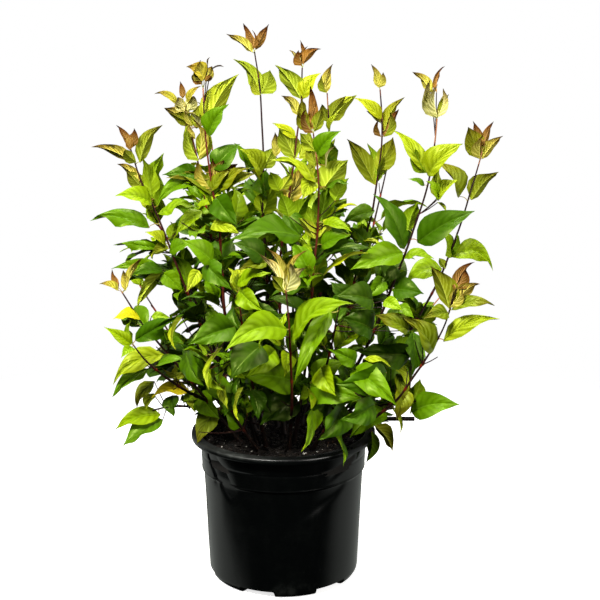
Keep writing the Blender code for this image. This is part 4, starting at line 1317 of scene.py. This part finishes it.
def leafPaint(kind, below):
    # arcuate veins with painted shade in their grooves and painted highlight on the bulges between
    # them, a paler midrib, a mottled blade, and a tint of its own on each leaf
    colour = linear(*leafKinds[kind][1 if below else 0])
    paint = Paint(f"leaf_{kind}_{'lower' if below else 'upper'}")
    tone = paint.attribute("tone")
    veins = paint.attribute("veins")
    across = abs(paint.attribute("across"))
    along = paint.attribute("along")
    toVein = abs((veins + 0.5).fraction() - 0.5)
    inBlade = 1 - across.band(0.78, 1.0)
    young = leafKinds[kind][2]
    # sunken: the vein lines; painted shade on the upper side, a paler colour on the lower side
    sunken = (1 - toVein.band(0.02, 0.12 + 0.14 * young)) * inBlade
    # bulge: the blade between the veins; painted highlight on the upper side, painted shade on the
    # lower side
    bulge = toVein.band(0.2, 0.42) * inBlade
    midrib = 1 - across.band(0.02, 0.09)
    stripes = leafColour["stripes"].get(kind, leafColour["otherStripes"])
    stripes = stripes * (0.35 + 0.65 * paint.noise(26, 2).band(0.35, 0.62))
    mottle = paint.noise(70, 4, 0.6)
    # light: a paler colour, the midrib's own, and also the painted highlight on the upper bulges and on
    # the raised veins below
    light = (min(1, colour[0] * 1.4 + 0.05), min(1, colour[1] * 1.35 + 0.05))
    light += (colour[2] * 2 + 0.01 + 0.04 * young,)
    dim = tuple(c * 0.58 for c in colour)
    warm = (min(1, colour[0] * 1.3), colour[1] * 1.02, colour[2] * 0.8)
    blade = paint.blend(((mottle - 0.5) * 1.8 + 0.5).clamped(), dim, colour)
    blade = paint.blend(tone.band(0.45, 1.0) * 0.55, blade, warm)
    blade = paint.blend(tone.band(0.5, 0.0) * 0.4, blade, dim)
    if below:
        # painted shade in the hollows between the raised veins; the raised veins paler, partly their
        # own colour and partly painted highlight
        dimmer = tuple(c * (0.6 - 0.22 * young) for c in colour)
        blade = paint.blend(bulge * stripes * (0.6 + 0.35 * young), blade, dimmer)
        blade = paint.blend(sunken * (0.3 + 0.5 * stripes), blade, light)
    else:
        # painted highlight on the bulges and painted shade in the sunken veins
        blade = paint.blend(bulge * stripes * 0.7, blade, light)
        blade = paint.blend(sunken * (0.25 + 0.6 * stripes), blade, tuple(c * 0.4 for c in colour))
    blade = paint.blend(midrib * (0.4 + 0.4 * stripes), blade, light)
    if kind in leafColour["blushShare"]:
        share = leafColour["blushShare"][kind]
        edge = across.band(0.6, 1.0) * 0.2 + along.band(0.4, 0.9) * 0.9
        blade = paint.blend((edge * share).clamped(), blade, linear(*leafColour["blush"]))
        blade = paint.blend(along.band(0.66, 0.95) * share, blade, linear(*leafColour["tip"]))
    paint.set(
        Base_Color=blade,
        Roughness=0.34 + 0.14 * mottle + (0.2 if below else 0.0),
        Specular_IOR_Level=0.15 if below else 0.34,
        Specular_Tint=leafColour["sheen"],
    )
    height = mottle * 0.2 + sunken * (0.5 if below else -0.6) + bulge * 0.4
    paint.relief(height, 0.00016, 0.6)
    return paint.material


def sortOf(leaf):
    size = "large" if leaf["length"] > leafForm["largeFrom"] else "small"
    return size, "young" if leaf["young"] > leafForm["youngFrom"] else "mature"


def leafPieces(leaves):
    nodes = [mass.nodes[1] for mass in masses]
    for kind in leafKinds:
        chosen = [leaf for leaf in leaves if leaf["kind"] == kind]
        if not chosen:
            continue
        verts, quads, sheets, maps = [], [], [], []
        values = {"veins": [], "across": [], "along": [], "tone": []}
        tiles = math.ceil(math.sqrt(len(chosen)))
        count = 0
        placed = 0
        for sort, form in blades.items():
            group = [leaf for leaf in chosen if sortOf(leaf) == sort]
            if not group:
                continue
            points = bladePoints(form, group)
            size = points.shape[1]
            verts.append(points.reshape(-1, 3))
            starts = count + np.arange(len(group))[:, None, None] * size
            quads.append((form["faces"][None] + starts).reshape(-1, 4))
            sheets.append(np.tile(form["sides"], len(group)))
            values["veins"].append(np.tile(form["veins"], len(group)))
            values["across"].append(np.tile(form["t"], len(group)))
            values["along"].append(np.tile(form["u"], len(group)))
            values["tone"].append(np.repeat([leaf["tone"] for leaf in group], size))
            # a bake map with one tile a leaf, upper side on the left and lower on the right
            numbers = placed + np.arange(len(group))
            corner = np.stack((numbers % tiles, numbers // tiles), axis=1)[:, None, None, :]
            s, t = form["corners"][..., 0], form["corners"][..., 1]
            sideways = 0.25 + 0.22 * t + 0.5 * form["sides"][:, None]
            inTile = np.stack((sideways, 0.03 + 0.94 * s), axis=-1)
            maps.append(((corner + inTile[None]) / tiles).reshape(-1, 2))
            count += size * len(group)
            placed += len(group)
        mesh = quadMesh(
            f"leaves_{kind}", np.concatenate(verts), np.concatenate(quads), np.concatenate(sheets)
        )
        for name, parts in values.items():
            setValues(mesh, name, np.concatenate(parts))
        bakeMap = mesh.uv_layers.new(name="OFBake")
        bakeMap.data.foreach_set("uv", np.concatenate(maps).astype(np.float32).ravel())
        soften(mesh, 75)
        finishPiece(mesh, (leafPaint(kind, False), leafPaint(kind, True)), "foliage", *nodes)
        print(f"scene: leaves_{kind}, {len(chosen)} leaves, {len(mesh.polygons)} faces")


def barkPaint():
    # age runs from 0 at a tip to 1 at the soil, knot is 1 at a node
    paint = Paint("cane_bark", Specular_IOR_Level=0.18)
    age = paint.attribute("age")
    knot = paint.attribute("knot")
    stretched = paint.place((260, 260, 34))
    streaks = paint.noise(1.0, 4, 0.6, stretched)
    patches = paint.noise(26, 3, 0.6)
    lenticels = 1 - paint.cells(1.0, paint.place((330, 330, 150))).band(0.10, 0.24)
    lenticels = lenticels * age.band(0.12, 0.4)
    colour = paint.node(
        "ShaderNodeValToRGB",
        {"stops": [(place, linear(*rgb)) for place, rgb in wood["colours"]]},
        {"Fac": (age + (patches - 0.5) * 0.35).clamped()},
    )
    reddened = paint.attribute("red") * (1 - age.band(0.35, 0.75)) * age.band(0.03, 0.08)
    colour = paint.blend(reddened, colour, linear(*wood["red"]))
    colour = paint.blend(streaks.band(0.35, 0.75) * 0.5, colour, linear(*wood["streak"]))
    colour = paint.blend(lenticels * 0.55, colour, linear(*wood["lenticel"]))
    colour = paint.blend(knot * (1 - age) ** 1.6 * 0.95, colour, linear(*wood["knot"]))
    paint.set(Base_Color=colour, Roughness=0.36 + streaks * 0.26)
    paint.relief(streaks * 0.6 + lenticels * 0.8 + patches * 0.3, 0.0007, 0.7)
    return paint.material


def tubeRings(points, radii, sides, roughen=0.0, seed=0.0):
    # rings square to the line, carried along it without twisting
    verts = []
    side = None
    for i, point in enumerate(points):
        ahead = (points[min(i + 1, len(points) - 1)] - points[max(i - 1, 0)]).normalized()
        side = ahead.orthogonal() if side is None else side - ahead * side.dot(ahead)
        side.normalize()
        other = ahead.cross(side)
        for k in range(sides):
            turn = math.tau * k / sides
            out = side * math.cos(turn) + other * math.sin(turn)
            radius = radii[i]
            if roughen:
                grain = noise.noise(Vector((out.x * 2.2 + seed, out.y * 2.2, point.z * 26 + out.z)))
                radius *= 1 + roughen * grain
            verts.append(point + out * radius)
    quads = []
    for i in range(len(points) - 1):
        for k in range(sides):
            a, b = i * sides + k, i * sides + (k + 1) % sides
            quads.append((a, b, b + sides, a + sides))
    return verts, quads


def capEnds(quads, rings, sides):
    # even-sided ends closed with quads across
    last = (rings - 1) * sides
    for k in range(sides // 2 - 1):
        quads.append((k + 1, k, sides - 1 - k, sides - 2 - k))
        a, b = last + k, last + k + 1
        quads.append((a, b, last + sides - 2 - k, last + sides - 1 - k))
    return quads


def woodMesh(name, rods):
    verts, quads, ages, knots, reds = [], [], [], [], []
    for rod in rods:
        sides = rod["sides"]
        ring, faces = tubeRings(rod["points"], rod["radii"], sides, rod["roughen"], rod["seed"])
        faces = capEnds(faces, len(rod["points"]), sides)
        quads += [tuple(index + len(verts) for index in face) for face in faces]
        verts += ring
        ages += list(np.repeat(rod["ages"], sides))
        knots += list(np.repeat(rod["knots"], sides))
        reds += [rod["red"]] * len(ring)
    mesh = quadMesh(name, verts, quads)
    setValues(mesh, "age", ages)
    setValues(mesh, "knot", knots)
    setValues(mesh, "red", reds)
    soften(mesh, 60)
    return mesh


def makeRod(points, radii, ages, knots, sides, roughen=0.0, seed=0.0, red=0.0):
    # radii, ages and knots are lists, or one number for the whole length
    count = len(points)
    radii, ages, knots = (
        value if isinstance(value, list) else [value] * count for value in (radii, ages, knots)
    )
    return {
        "points": points, "radii": radii, "ages": ages, "knots": knots, "sides": sides,
        "roughen": roughen, "seed": seed, "red": red,
    }


def caneRod(mass, fromSoil, number):
    path = mass.path
    count = round(path.length / wood["ringStep"])
    reaches = [path.length * i / count for i in range(count + 1)]
    nodes = [distance for distance, _ in mass.stations()]
    nodes += list(np.arange(mass.start - 0.02, 0.02, -wood["bareNodes"]))
    dice = random.Random(300 + number)
    phases = [dice.uniform(0, 10) for _ in range(2)]
    points, radii, ages, knots = [], [], [], []
    for reach in reaches:
        share = reach / path.length
        if reach < mass.start:
            radius = mass.radius + (wood["leaderRadius"] - mass.radius) * reach / mass.start
        else:
            upper = (reach - mass.start) / (path.length - mass.start)
            radius = between((wood["leaderRadius"], wood["leaderTip"]), upper)
        knot = max(math.exp(-(((reach - node) / wood["nodeWidth"]) ** 2)) for node in nodes)
        radius *= 1 + wood["nodeSwell"] * knot * (0.45 + 0.55 * share)
        if fromSoil:
            radius *= 1 + (wood["flare"] - 1) * math.exp(-reach / 0.008)
        sway = wood["wander"] * math.sin(math.pi * share)
        shift = Vector(
            (noise.noise((phases[0], reach * 14, 0)), noise.noise((phases[1], 0, reach * 14)), 0)
        )
        points.append(path.along(reach) + shift * sway)
        radii.append(radius)
        ages.append((1 - share) ** 1.15)
        knots.append(knot)
    red = wood["redCanes"].get(mass.name, 0.0)
    return makeRod(points, radii, ages, knots, wood["sides"], wood["ridge"], number * 7.3, red)


def twigRod(foot, tip, radius, end, age, rings, bow):
    points = [foot.lerp(tip, i / rings) for i in range(rings + 1)]
    rise = Vector((0, 0, (tip - foot).length * bow))
    points = [p - rise * math.sin(math.pi * i / rings) for i, p in enumerate(points)]
    radii = [radius + (end - radius) * i / rings for i in range(rings + 1)]
    knots = [0.7 if i == 0 else 0.0 for i in range(rings + 1)]
    return makeRod(points, radii, age, knots, 6)


def woodPieces(leaves, shoots):
    bark = barkPaint()
    for number, mass in enumerate(masses):
        fromSoil = mass.nodes[0].startswith("stem")
        mesh = woodMesh(f"cane_{mass.name}", [caneRod(mass, fromSoil, number)])
        finishPiece(mesh, [bark], "cane_bark", mass.nodes[0])
    route = [mm(*point) for point in wood["pruned"]]
    smoothRoute = []
    for i in range(len(route) - 1):
        smoothRoute += [route[i].lerp(route[i + 1], k / 4) for k in range(4)]
    smoothRoute.append(route[-1])
    for _ in range(3):
        middle = [(a + b * 2 + c) / 4 for a, b, c in zip(smoothRoute, smoothRoute[1:], smoothRoute[2:])]
        smoothRoute = [smoothRoute[0], *middle, smoothRoute[-1]]
    stub = makeRod(smoothRoute, wood["prunedRadius"], 1.0, 0.0, wood["sides"], 0.12, 3.0)
    mesh = woodMesh("pruned_stub", [stub])
    finishPiece(mesh, [bark], "cane_bark", "pruned_cane")

    foliageNodes = [mass.nodes[1] for mass in masses]
    rods = []
    for mass in masses:
        for foot, tip in mass.twigs:
            height = (foot.z - 0.2) / 0.5
            age = 0.6 - 0.4 * height
            rods.append(twigRod(foot, tip, wood["twigRadius"], wood["twigTip"], age, 7, 0.05))
    for foot, tip in shoots:
        rods.append(twigRod(foot, tip, wood["shootRadius"], wood["twigTip"], wood["shootAge"], 4, 0.04))
    mesh = woodMesh("twigs", rods)
    finishPiece(mesh, [bark], "cane_bark", *foliageNodes)

    stalks = [stalkRod(leaf) for leaf in leaves]
    mesh = woodMesh("leaf_stalks", stalks)
    finishPiece(mesh, [stalkPaint()], "foliage", *foliageNodes)
    print(f"scene: {len(masses)} canes, {len(rods)} twigs, {len(stalks)} leaf stalks")


def stalkRod(leaf):
    # from the wood into the base of the blade, turning to the blade's own way
    form = leafForm["stalk"]
    size = (leaf["length"] / 0.07) ** 0.5
    rings = 4
    into = leaf["root"] + leaf["along"] * 0.002 * size
    points = []
    for i in range(rings + 1):
        t = i / rings
        bend = leaf["foot"] + leaf["stalk"] * (leaf["root"] - leaf["foot"]).length * 0.6
        points.append(leaf["foot"] * (1 - t) ** 2 + bend * 2 * t * (1 - t) + into * t**2)
    radii = [form["radius"] * size * (1.35 - 0.6 * i / rings) for i in range(rings + 1)]
    ages = [min(1.0, max(0.0, 1 - leaf["young"] - 0.25 * i / rings)) for i in range(rings + 1)]
    return makeRod(points, radii, ages, 0.0, 4)


def stalkPaint():
    form = leafForm["stalk"]
    paint = Paint("leaf_stalk", Roughness=0.42)
    patches = paint.noise(60, 2)
    colour = paint.blend(
        patches.band(0.35, 0.7) * 0.8, linear(*form["green"]), linear(*form["red"])
    )
    paint.set(Base_Color=colour)
    return paint.material


mix = {
    "level": 0.1905,
    "radius": 0.1112,
    "rings": 46,
    "spokes": 150,
    "relief": 0.0036,
    "mound": 0.002,
    "chips": 1700,
    "chipSize": (0.003, 0.012),
    "chipFlat": 0.36,
    "perlite": 130,
    "perliteSize": (0.0008, 0.0024),
    "fibres": 12,
    "fibreRadius": 0.0004,
    "fibreLengths": (0.008, 0.024),
    "dark": (7, 6, 5),
    "brown": (17, 14, 10),
    "chipDark": (6, 5, 5),
    "chipBrown": (44, 38, 33),
    "whiteShade": (176, 172, 160),
    "white": (226, 224, 216),
    "strawShade": (120, 104, 78),
    "straw": (190, 178, 150),
}


def mixHeight(x, y):
    # lumps of two sizes on a slight mound that sinks at the wall
    radius = math.hypot(x, y) / mix["radius"]
    lumps = noise.fractal(Vector((x * 70, y * 70, 3.1)), 1.0, 2.1, 4) * mix["relief"]
    clods = noise.noise(Vector((x * 210, y * 210, 9.4))) * mix["relief"] * 0.35
    return mix["level"] + mix["mound"] * (1 - radius**2) + (lumps + clods) * (1 - radius**8 * 0.6)


def mixPaint(name, dark, light, scale, rough):
    paint = Paint(name, Specular_IOR_Level=0.3)
    grain = paint.noise(scale, 5, 0.7)
    lumps = paint.noise(scale * 0.22, 3, 0.6)
    shade = (grain * 0.6 + lumps * 0.5).band(0.35, 0.75)
    paint.set(Base_Color=paint.blend(shade, linear(*dark), linear(*light)))
    paint.set(Roughness=rough + 0.12 * grain)
    paint.relief(grain, 0.0012, 0.9)
    return paint.material


lumpCorners = [(x, y, z) for x in (-1, 1) for y in (-1, 1) for z in (-1, 1)]
lumpFaces = ((0, 1, 3, 2), (4, 6, 7, 5), (0, 4, 5, 1), (2, 3, 7, 6), (0, 2, 6, 4), (1, 5, 7, 3))


def addLump(verts, faces, dice, size, shape, stand):
    # a broken, uneven block lying on the mix
    turn, radius = dice.uniform(0, math.tau), (mix["radius"] - 0.004) * math.sqrt(dice.random())
    x, y = radius * math.cos(turn), radius * math.sin(turn)
    spin, tip = dice.uniform(0, math.tau), dice.uniform(-0.5, 0.5)
    start = len(verts)
    lift = mixHeight(x, y) + size * shape[2] * stand
    for cx, cy, cz in lumpCorners:
        px = cx * size * shape[0] * dice.uniform(0.6, 1) / 2
        py = cy * size * shape[1] * dice.uniform(0.6, 1) / 2
        pz = cz * size * shape[2] * dice.uniform(0.6, 1) / 2 + px * tip
        verts.append((
            x + px * math.cos(spin) - py * math.sin(spin),
            y + px * math.sin(spin) + py * math.cos(spin),
            lift + pz,
        ))
    faces += [tuple(start + index for index in face) for face in lumpFaces]


def finishMix(mesh, degrees, *paint):
    soften(mesh, degrees)
    finishPiece(mesh, [mixPaint(*paint)], "potting_mix", "potting_mix")


def soilPieces():
    verts, quads = [], []
    for ring in range(mix["rings"] + 1):
        radius = mix["radius"] * (0.02 + 0.98 * ring / mix["rings"])
        for spoke in range(mix["spokes"]):
            turn = math.tau * spoke / mix["spokes"]
            x, y = radius * math.cos(turn), radius * math.sin(turn)
            verts.append((x, y, mixHeight(x, y)))
    for spoke in range(mix["spokes"]):
        turn = math.tau * spoke / mix["spokes"]
        x, y = mix["radius"] * math.cos(turn), mix["radius"] * math.sin(turn)
        verts.append((x, y, mix["level"] - 0.02))
    spokes = mix["spokes"]
    for ring in range(mix["rings"] + 1):
        for spoke in range(spokes):
            a, b = ring * spokes + spoke, ring * spokes + (spoke + 1) % spokes
            quads.append((a, a + spokes, b + spokes, b))
    capEnds(quads, mix["rings"] + 2, spokes)
    mesh = quadMesh("soil", verts, quads)
    finishMix(mesh, 50, "potting_mix_surface", mix["dark"], mix["brown"], 420, 0.8)

    dice = random.Random(41)
    chips, chipFaces = [], []
    for _ in range(mix["chips"]):
        size = dice.uniform(*mix["chipSize"]) * dice.uniform(0.5, 1)
        addLump(chips, chipFaces, dice, size, (1, dice.uniform(0.35, 0.8), mix["chipFlat"]), 0.35)
    mesh = quadMesh("bark_chips", chips, chipFaces)
    finishMix(mesh, 40, "bark_chip", mix["chipDark"], mix["chipBrown"], 650, 0.36)

    grains, grainFaces = [], []
    for _ in range(mix["perlite"]):
        size = dice.uniform(*mix["perliteSize"])
        addLump(grains, grainFaces, dice, size, (1, 0.85, 0.8), 0.9)
    mesh = quadMesh("perlite", grains, grainFaces)
    finishMix(mesh, 70, "perlite_grain", mix["whiteShade"], mix["white"], 900, 0.75)

    rods = []
    for _ in range(mix["fibres"]):
        turn, radius = dice.uniform(0, math.tau), mix["radius"] * math.sqrt(dice.random()) * 0.94
        x, y = radius * math.cos(turn), radius * math.sin(turn)
        way = dice.uniform(0, math.tau)
        length = dice.uniform(*mix["fibreLengths"])
        points = []
        for i in range(9):
            reach = length * i / 8
            px = x + math.cos(way + i * 0.13) * reach
            py = y + math.sin(way + i * 0.13) * reach
            if math.hypot(px, py) > mix["radius"] - 0.002:
                break
            points.append(Vector((px, py, mixHeight(px, py) + 0.0014 + 0.0006 * math.sin(i))))
        if len(points) > 4:
            rods.append(makeRod(points, mix["fibreRadius"], 0.0, 0.0, 4))
    mesh = woodMesh("root_fibres", rods)
    paint = mixPaint("root_fibre", mix["strawShade"], mix["straw"], 500, 0.7)
    finishPiece(mesh, [paint], "potting_mix", "potting_mix")
    print(f"scene: potting mix with {mix['chips']} chips and {mix['perlite']} grains")


pot = {
    "height": 0.204,
    "rimRadius": 0.125,
    "rimThickness": 0.0024,
    "lip": 0.0075,
    "wall": 0.0018,
    "floor": 0.009,
    "ledgeHeight": 0.153,
    "ledgeStep": 0.0024,
    "creaseHeight": 0.176,
    "bodyTop": 0.1134,
    "bodyFoot": 0.1027,
    "rounding": 0.010,
    "slots": 6,
    "firstSlot": -110,
    "slotHalfWidth": 0.021,
    "slotHeight": 0.0075,
    "slotReach": 0.030,
    "spokes": 360,
    "colour": (3, 4, 4),
    # dents of thin plastic: turn from the front, height, half turn, half height, depth
    "dents": (
        (-47, 0.168, 13, 0.016, 0.0012),
        (29, 0.134, 12, 0.016, 0.0010),
        (-62, 0.120, 16, 0.040, 0.0007),
        (60, 0.090, 18, 0.050, 0.0007),
    ),
    # creases: turn and height of both ends, depth, width of the steep and of the gentle side
    "creases": (
        ((-38, 0.138), (-60, 0.187), 0.0040, 0.0055, 0.0150),
        ((-56, 0.150), (-44, 0.174), 0.0012, 0.0022, 0.0080),
        ((50, 0.154), (14, 0.116), 0.0016, 0.0060, 0.0200),
        ((62, 0.186), (36, 0.166), 0.0012, 0.0020, 0.008),
    ),
}


def potRadius(height):
    # outer radius of the body
    taper = (pot["bodyTop"] - pot["ledgeStep"] - pot["bodyFoot"]) / pot["height"]
    step = 1 / (1 + math.exp(-(height - pot["ledgeHeight"]) / 0.0006))
    crease = -0.0004 * math.exp(-(((height - pot["creaseHeight"]) / 0.0016) ** 2))
    bead = 0.0006 * math.exp(-(((height - pot["ledgeHeight"] - 0.0012) / 0.0011) ** 2))
    return pot["bodyFoot"] + taper * height + pot["ledgeStep"] * step + crease + bead


def creaseDepth(turn, height):
    # how far the creases push the wall in at a turn from the front, in degrees, and a height
    depth = 0.0
    perDegree = math.radians(1) * pot["bodyTop"]
    for start, end, deepest, steep, gentle in pot["creases"]:
        wayX, wayY = (end[0] - start[0]) * perDegree, end[1] - start[1]
        x, y = (turn - start[0]) * perDegree, height - start[1]
        length = math.hypot(wayX, wayY)
        along = (x * wayX + y * wayY) / length**2
        if -0.3 < along < 1.3:
            off = (x * wayY - y * wayX) / length
            width = steep if off < 0 else gentle
            ends = math.exp(-((max(0.0, abs(along - 0.5) - 0.35) / 0.2) ** 2))
            depth += deepest * math.exp(-((off / width) ** 2)) * ends
    return depth


def potProfile():
    # radius and height from the floor's middle up inside, over the rim and down outside
    wall, top, floor = pot["wall"], pot["height"], pot["floor"]
    rounding, rim = pot["rounding"], pot["rimRadius"]
    corner = potRadius(rounding) - rounding
    profile = [(0.004, floor), (corner, floor)]
    profile += [(potRadius(z) - wall, z) for z in np.linspace(floor + 0.002, top - 0.003, 32)]
    inner = potRadius(top) - wall
    for angle in np.radians((30, 60, 90)):
        profile.append((inner + 0.0016 * (1 - math.cos(angle)), top - 0.0016 * (1 - math.sin(angle))))
    profile.append(((inner + rim) / 2, top + 0.0003))
    for angle in np.radians((0, 30, 60, 90)):
        profile.append((rim - 0.0022 * (1 - math.sin(angle)), top - 0.0022 * (1 - math.cos(angle))))
    edge = top - pot["lip"]
    profile.append((rim + 0.0002, edge + 0.0022))
    for angle in np.radians((0, 45, 90)):
        profile.append((rim - 0.0009 * (1 - math.cos(angle)), edge + 0.0009 * (1 - math.sin(angle))))
    under = top - pot["rimThickness"]
    profile += [(rim - wall, edge + 0.0006), (rim - wall, under - 0.0008)]
    profile += [(rim - wall - 0.0009, under), (potRadius(under) + 0.0012, under)]
    profile.append((potRadius(under), under - 0.0014))
    heights = list(np.linspace(top - 0.006, rounding + 0.002, 74))
    heights += [pot["ledgeHeight"] + offset for offset in np.linspace(-0.003, 0.0045, 12)]
    heights += [pot["creaseHeight"] + offset for offset in np.linspace(-0.003, 0.003, 8)]
    profile += [(potRadius(z), z) for z in sorted(heights, reverse=True)]
    for angle in np.radians((0, 22, 45, 67, 90)):
        profile.append((corner + rounding * math.cos(angle), rounding * (1 - math.sin(angle))))
    profile += [(corner * 0.9, 0.0), (0.004, 0.0)]
    return profile


def potPaint():
    # glossy black plastic: faint scuffs, dust and dried splashes, a greyer film towards the bottom, and
    # a painted highlight on the left of the rim
    paint = Paint("pot_plastic", Specular_IOR_Level=0.38)
    scuffs = paint.noise(1.0, 6, 0.7, paint.place((40, 40, 9)))
    dust = paint.noise(34, 5, 0.7)
    specks = 1 - paint.cells(240).band(0.05, 0.16)
    specks = specks * paint.noise(9, 2).band(0.5, 0.62)
    height = paint.node("ShaderNodeSeparateXYZ", {}, {0: paint.place()}, out=2)
    sideways = paint.node("ShaderNodeSeparateXYZ", {}, {0: paint.place()}, out=0)
    # rim: the rim's top on the left only, where a painted highlight goes
    rim = height.band(0.199, 0.2035) * (1 - sideways.band(-0.04, 0.01))
    # low: greyer towards the bottom, plus the rim's painted highlight
    low = height.band(0.03, 0.0) * 0.22 + rim * 0.8
    dustAndPaintedHighlight = (dust.band(0.45, 0.75) * (0.02 + low) + specks * 0.1 + rim * 0.22).clamped()
    # the grey carries the dust, the specks, the greyer bottom and the painted highlight on the rim
    colour = paint.blend(dustAndPaintedHighlight * 0.4, linear(*pot["colour"]), linear(92, 96, 92))
    paint.set(
        Base_Color=colour,
        Roughness=0.17 + 0.12 * scuffs.band(0.4, 0.8) + dustAndPaintedHighlight * 0.35 + height.band(0.200, 0.203) * 0.1,
    )
    paint.relief(scuffs * 0.5 + dust * 0.3 + specks * 0.2, 0.0004, 0.35)
    return paint.material


def potPieces():
    profile = potProfile()
    spokes = pot["spokes"]
    verts, quads = [], []
    slotTurn = math.tau / pot["slots"]
    firstSlot = math.radians(pot["firstSlot"])
    halfSlot = pot["slotHalfWidth"] / pot["bodyFoot"]
    slotEnd = potRadius(pot["rounding"]) - pot["slotReach"]
    outerFrom = len(profile) - 101  # 94 heights of the outside, 5 of its rounding and 2 below
    for number, (radius, height) in enumerate(profile):
        for spoke in range(spokes):
            angle = math.tau * spoke / spokes
            r, z = radius, height
            offSlot = abs((angle - firstSlot + slotTurn / 2) % slotTurn - slotTurn / 2)
            opened = 1 - min(1, max(0, (offSlot - halfSlot) / 0.03))
            if number > outerFrom and z < pot["slotHeight"] and opened > 0:
                r -= opened * min(pot["slotReach"] * 0.6, max(0.0, r - slotEnd))
                z += opened * (pot["slotHeight"] - z) * min(1, max(0.0, (radius - 0.08) / 0.012))
            fromFront = (math.degrees(angle) + 90 + 180) % 360 - 180
            for turn, level, halfTurn, halfHeight, depth in pot["dents"]:
                near = ((fromFront - turn) / halfTurn) ** 2 + ((z - level) / halfHeight) ** 2
                if near < 6:
                    r -= depth * math.exp(-near)
            if number > outerFrom and 0.1 < z < 0.195:
                r -= creaseDepth(fromFront, z)
            wobble = 0.0009 * math.sin(2 * angle + 0.7) + 0.0004 * math.sin(5 * angle + 2)
            r += wobble * (z / pot["height"]) * (r > 0.05)
            verts.append((r * math.cos(angle), r * math.sin(angle), z))
    for i in range(len(profile) - 1):
        for k in range(spokes):
            a, b = i * spokes + k, i * spokes + (k + 1) % spokes
            quads.append((a, a + spokes, b + spokes, b))
    faces = []
    capEnds(faces, len(profile), spokes)
    quads += [tuple(reversed(face)) for face in faces]
    mesh = quadMesh("nursery_pot", verts, quads)
    soften(mesh, 40)
    finishPiece(mesh, [potPaint()], "pot_plastic", "pot")
    print(f"scene: pot, {len(mesh.polygons)} faces")


def setFloor():
    # a pale floor that turns into the studio's white away from the pot
    radius = studio["floorRadius"]
    corners = [(-radius, -radius, 0), (radius, -radius, 0), (radius, radius, 0), (-radius, radius, 0)]
    mesh = quadMesh("floor", corners, [(0, 1, 2, 3)])
    floor = Paint("floor", Roughness=0.9, Specular_IOR_Level=0.0, Emission_Strength=1.0)
    place = floor.node("ShaderNodeTexCoord", out="Object")
    away = floor.node("ShaderNodeVectorMath", {"operation": "LENGTH"}, {0: place}, out="Value")
    white = away.band(*studio["floorTurnsWhite"])
    glow = (studio["floorGlow"],) * 3
    floor.set(Base_Color=floor.blend(white, studio["floorColour"], (0.0, 0.0, 0.0)))
    floor.set(Emission_Color=floor.blend(white, glow, (1.0, 1.0, 1.0)))
    putOnStage(link(mesh, floor.material), "glossy", "diffuse")
    bpy.ops.mesh.primitive_uv_sphere_add(radius=studio["wallRadius"], segments=48, ring_count=24)
    wall = bpy.context.object
    wall.name = "studio_wall"
    light = Paint("studio_wall", Base_Color=(0.0, 0.0, 0.0), Specular_IOR_Level=0.0)
    light.set(Emission_Color=(1.0, 1.0, 1.0), Emission_Strength=1.0)
    wall.data.materials.append(light.material)
    putOnStage(wall, "diffuse", "glossy", "shadow", "transmission", "volume_scatter")


def setCards():
    # soft upright reflectors, seen only in the gloss of the pot
    for name, card in studio["cards"].items():
        corners, quads, edges = [], [], []
        steps = 24
        for row, (height, first, last) in enumerate(card["rows"]):
            for i in range(steps + 1):
                turn = math.radians(first + (last - first) * i / steps)
                corners.append((math.sin(turn) * card["away"], -math.cos(turn) * card["away"], height))
                edges.append(2 * i / steps - 1)
                if row and i:
                    a = row * (steps + 1) + i
                    quads.append((a, a - 1, a - steps - 2, a - steps - 1))
        mesh = quadMesh(name, corners, quads)
        setValues(mesh, "edge", edges)
        paper = Paint(name, Base_Color=(0.0, 0.0, 0.0), Specular_IOR_Level=0.0)
        bright = abs(paper.attribute("edge")).band(1.0, card["soft"])
        paper.set(Emission_Color=paper.blend(bright, (0.0, 0.0, 0.0), studio["cardColour"]))
        paper.set(Emission_Strength=card["strength"])
        paper.material.cycles.emission_sampling = "NONE"
        unseenBy = "camera", "diffuse", "shadow", "transmission", "volume_scatter"
        putOnStage(link(mesh, paper.material), *unseenBy)


print("scene: camera and light")
setCamera()
setLights()
setFloor()
setCards()

masses = planMasses()
room = Room(masses)
room.settle()
for mass in masses:
    growTwigs(mass, room)
    growLowShoots(mass)
room.settle()
leaves, shoots = [], []
for mass in masses:
    for row in frontLeaves.get(mass.name, (0, ()))[1]:
        placeLeaf(leaves, room, mass, shoots, row)
shown = len(leaves)
for mass in masses:
    growLeaves(mass, room, leaves, shoots)
print(f"scene: {shown} leaves placed from the front view")
print(f"scene: {len(leaves)} leaves planned on {len(masses)} leaders, {len(shoots)} short shoots")
leafPieces(leaves)
woodPieces(leaves, shoots)
soilPieces()
potPieces()
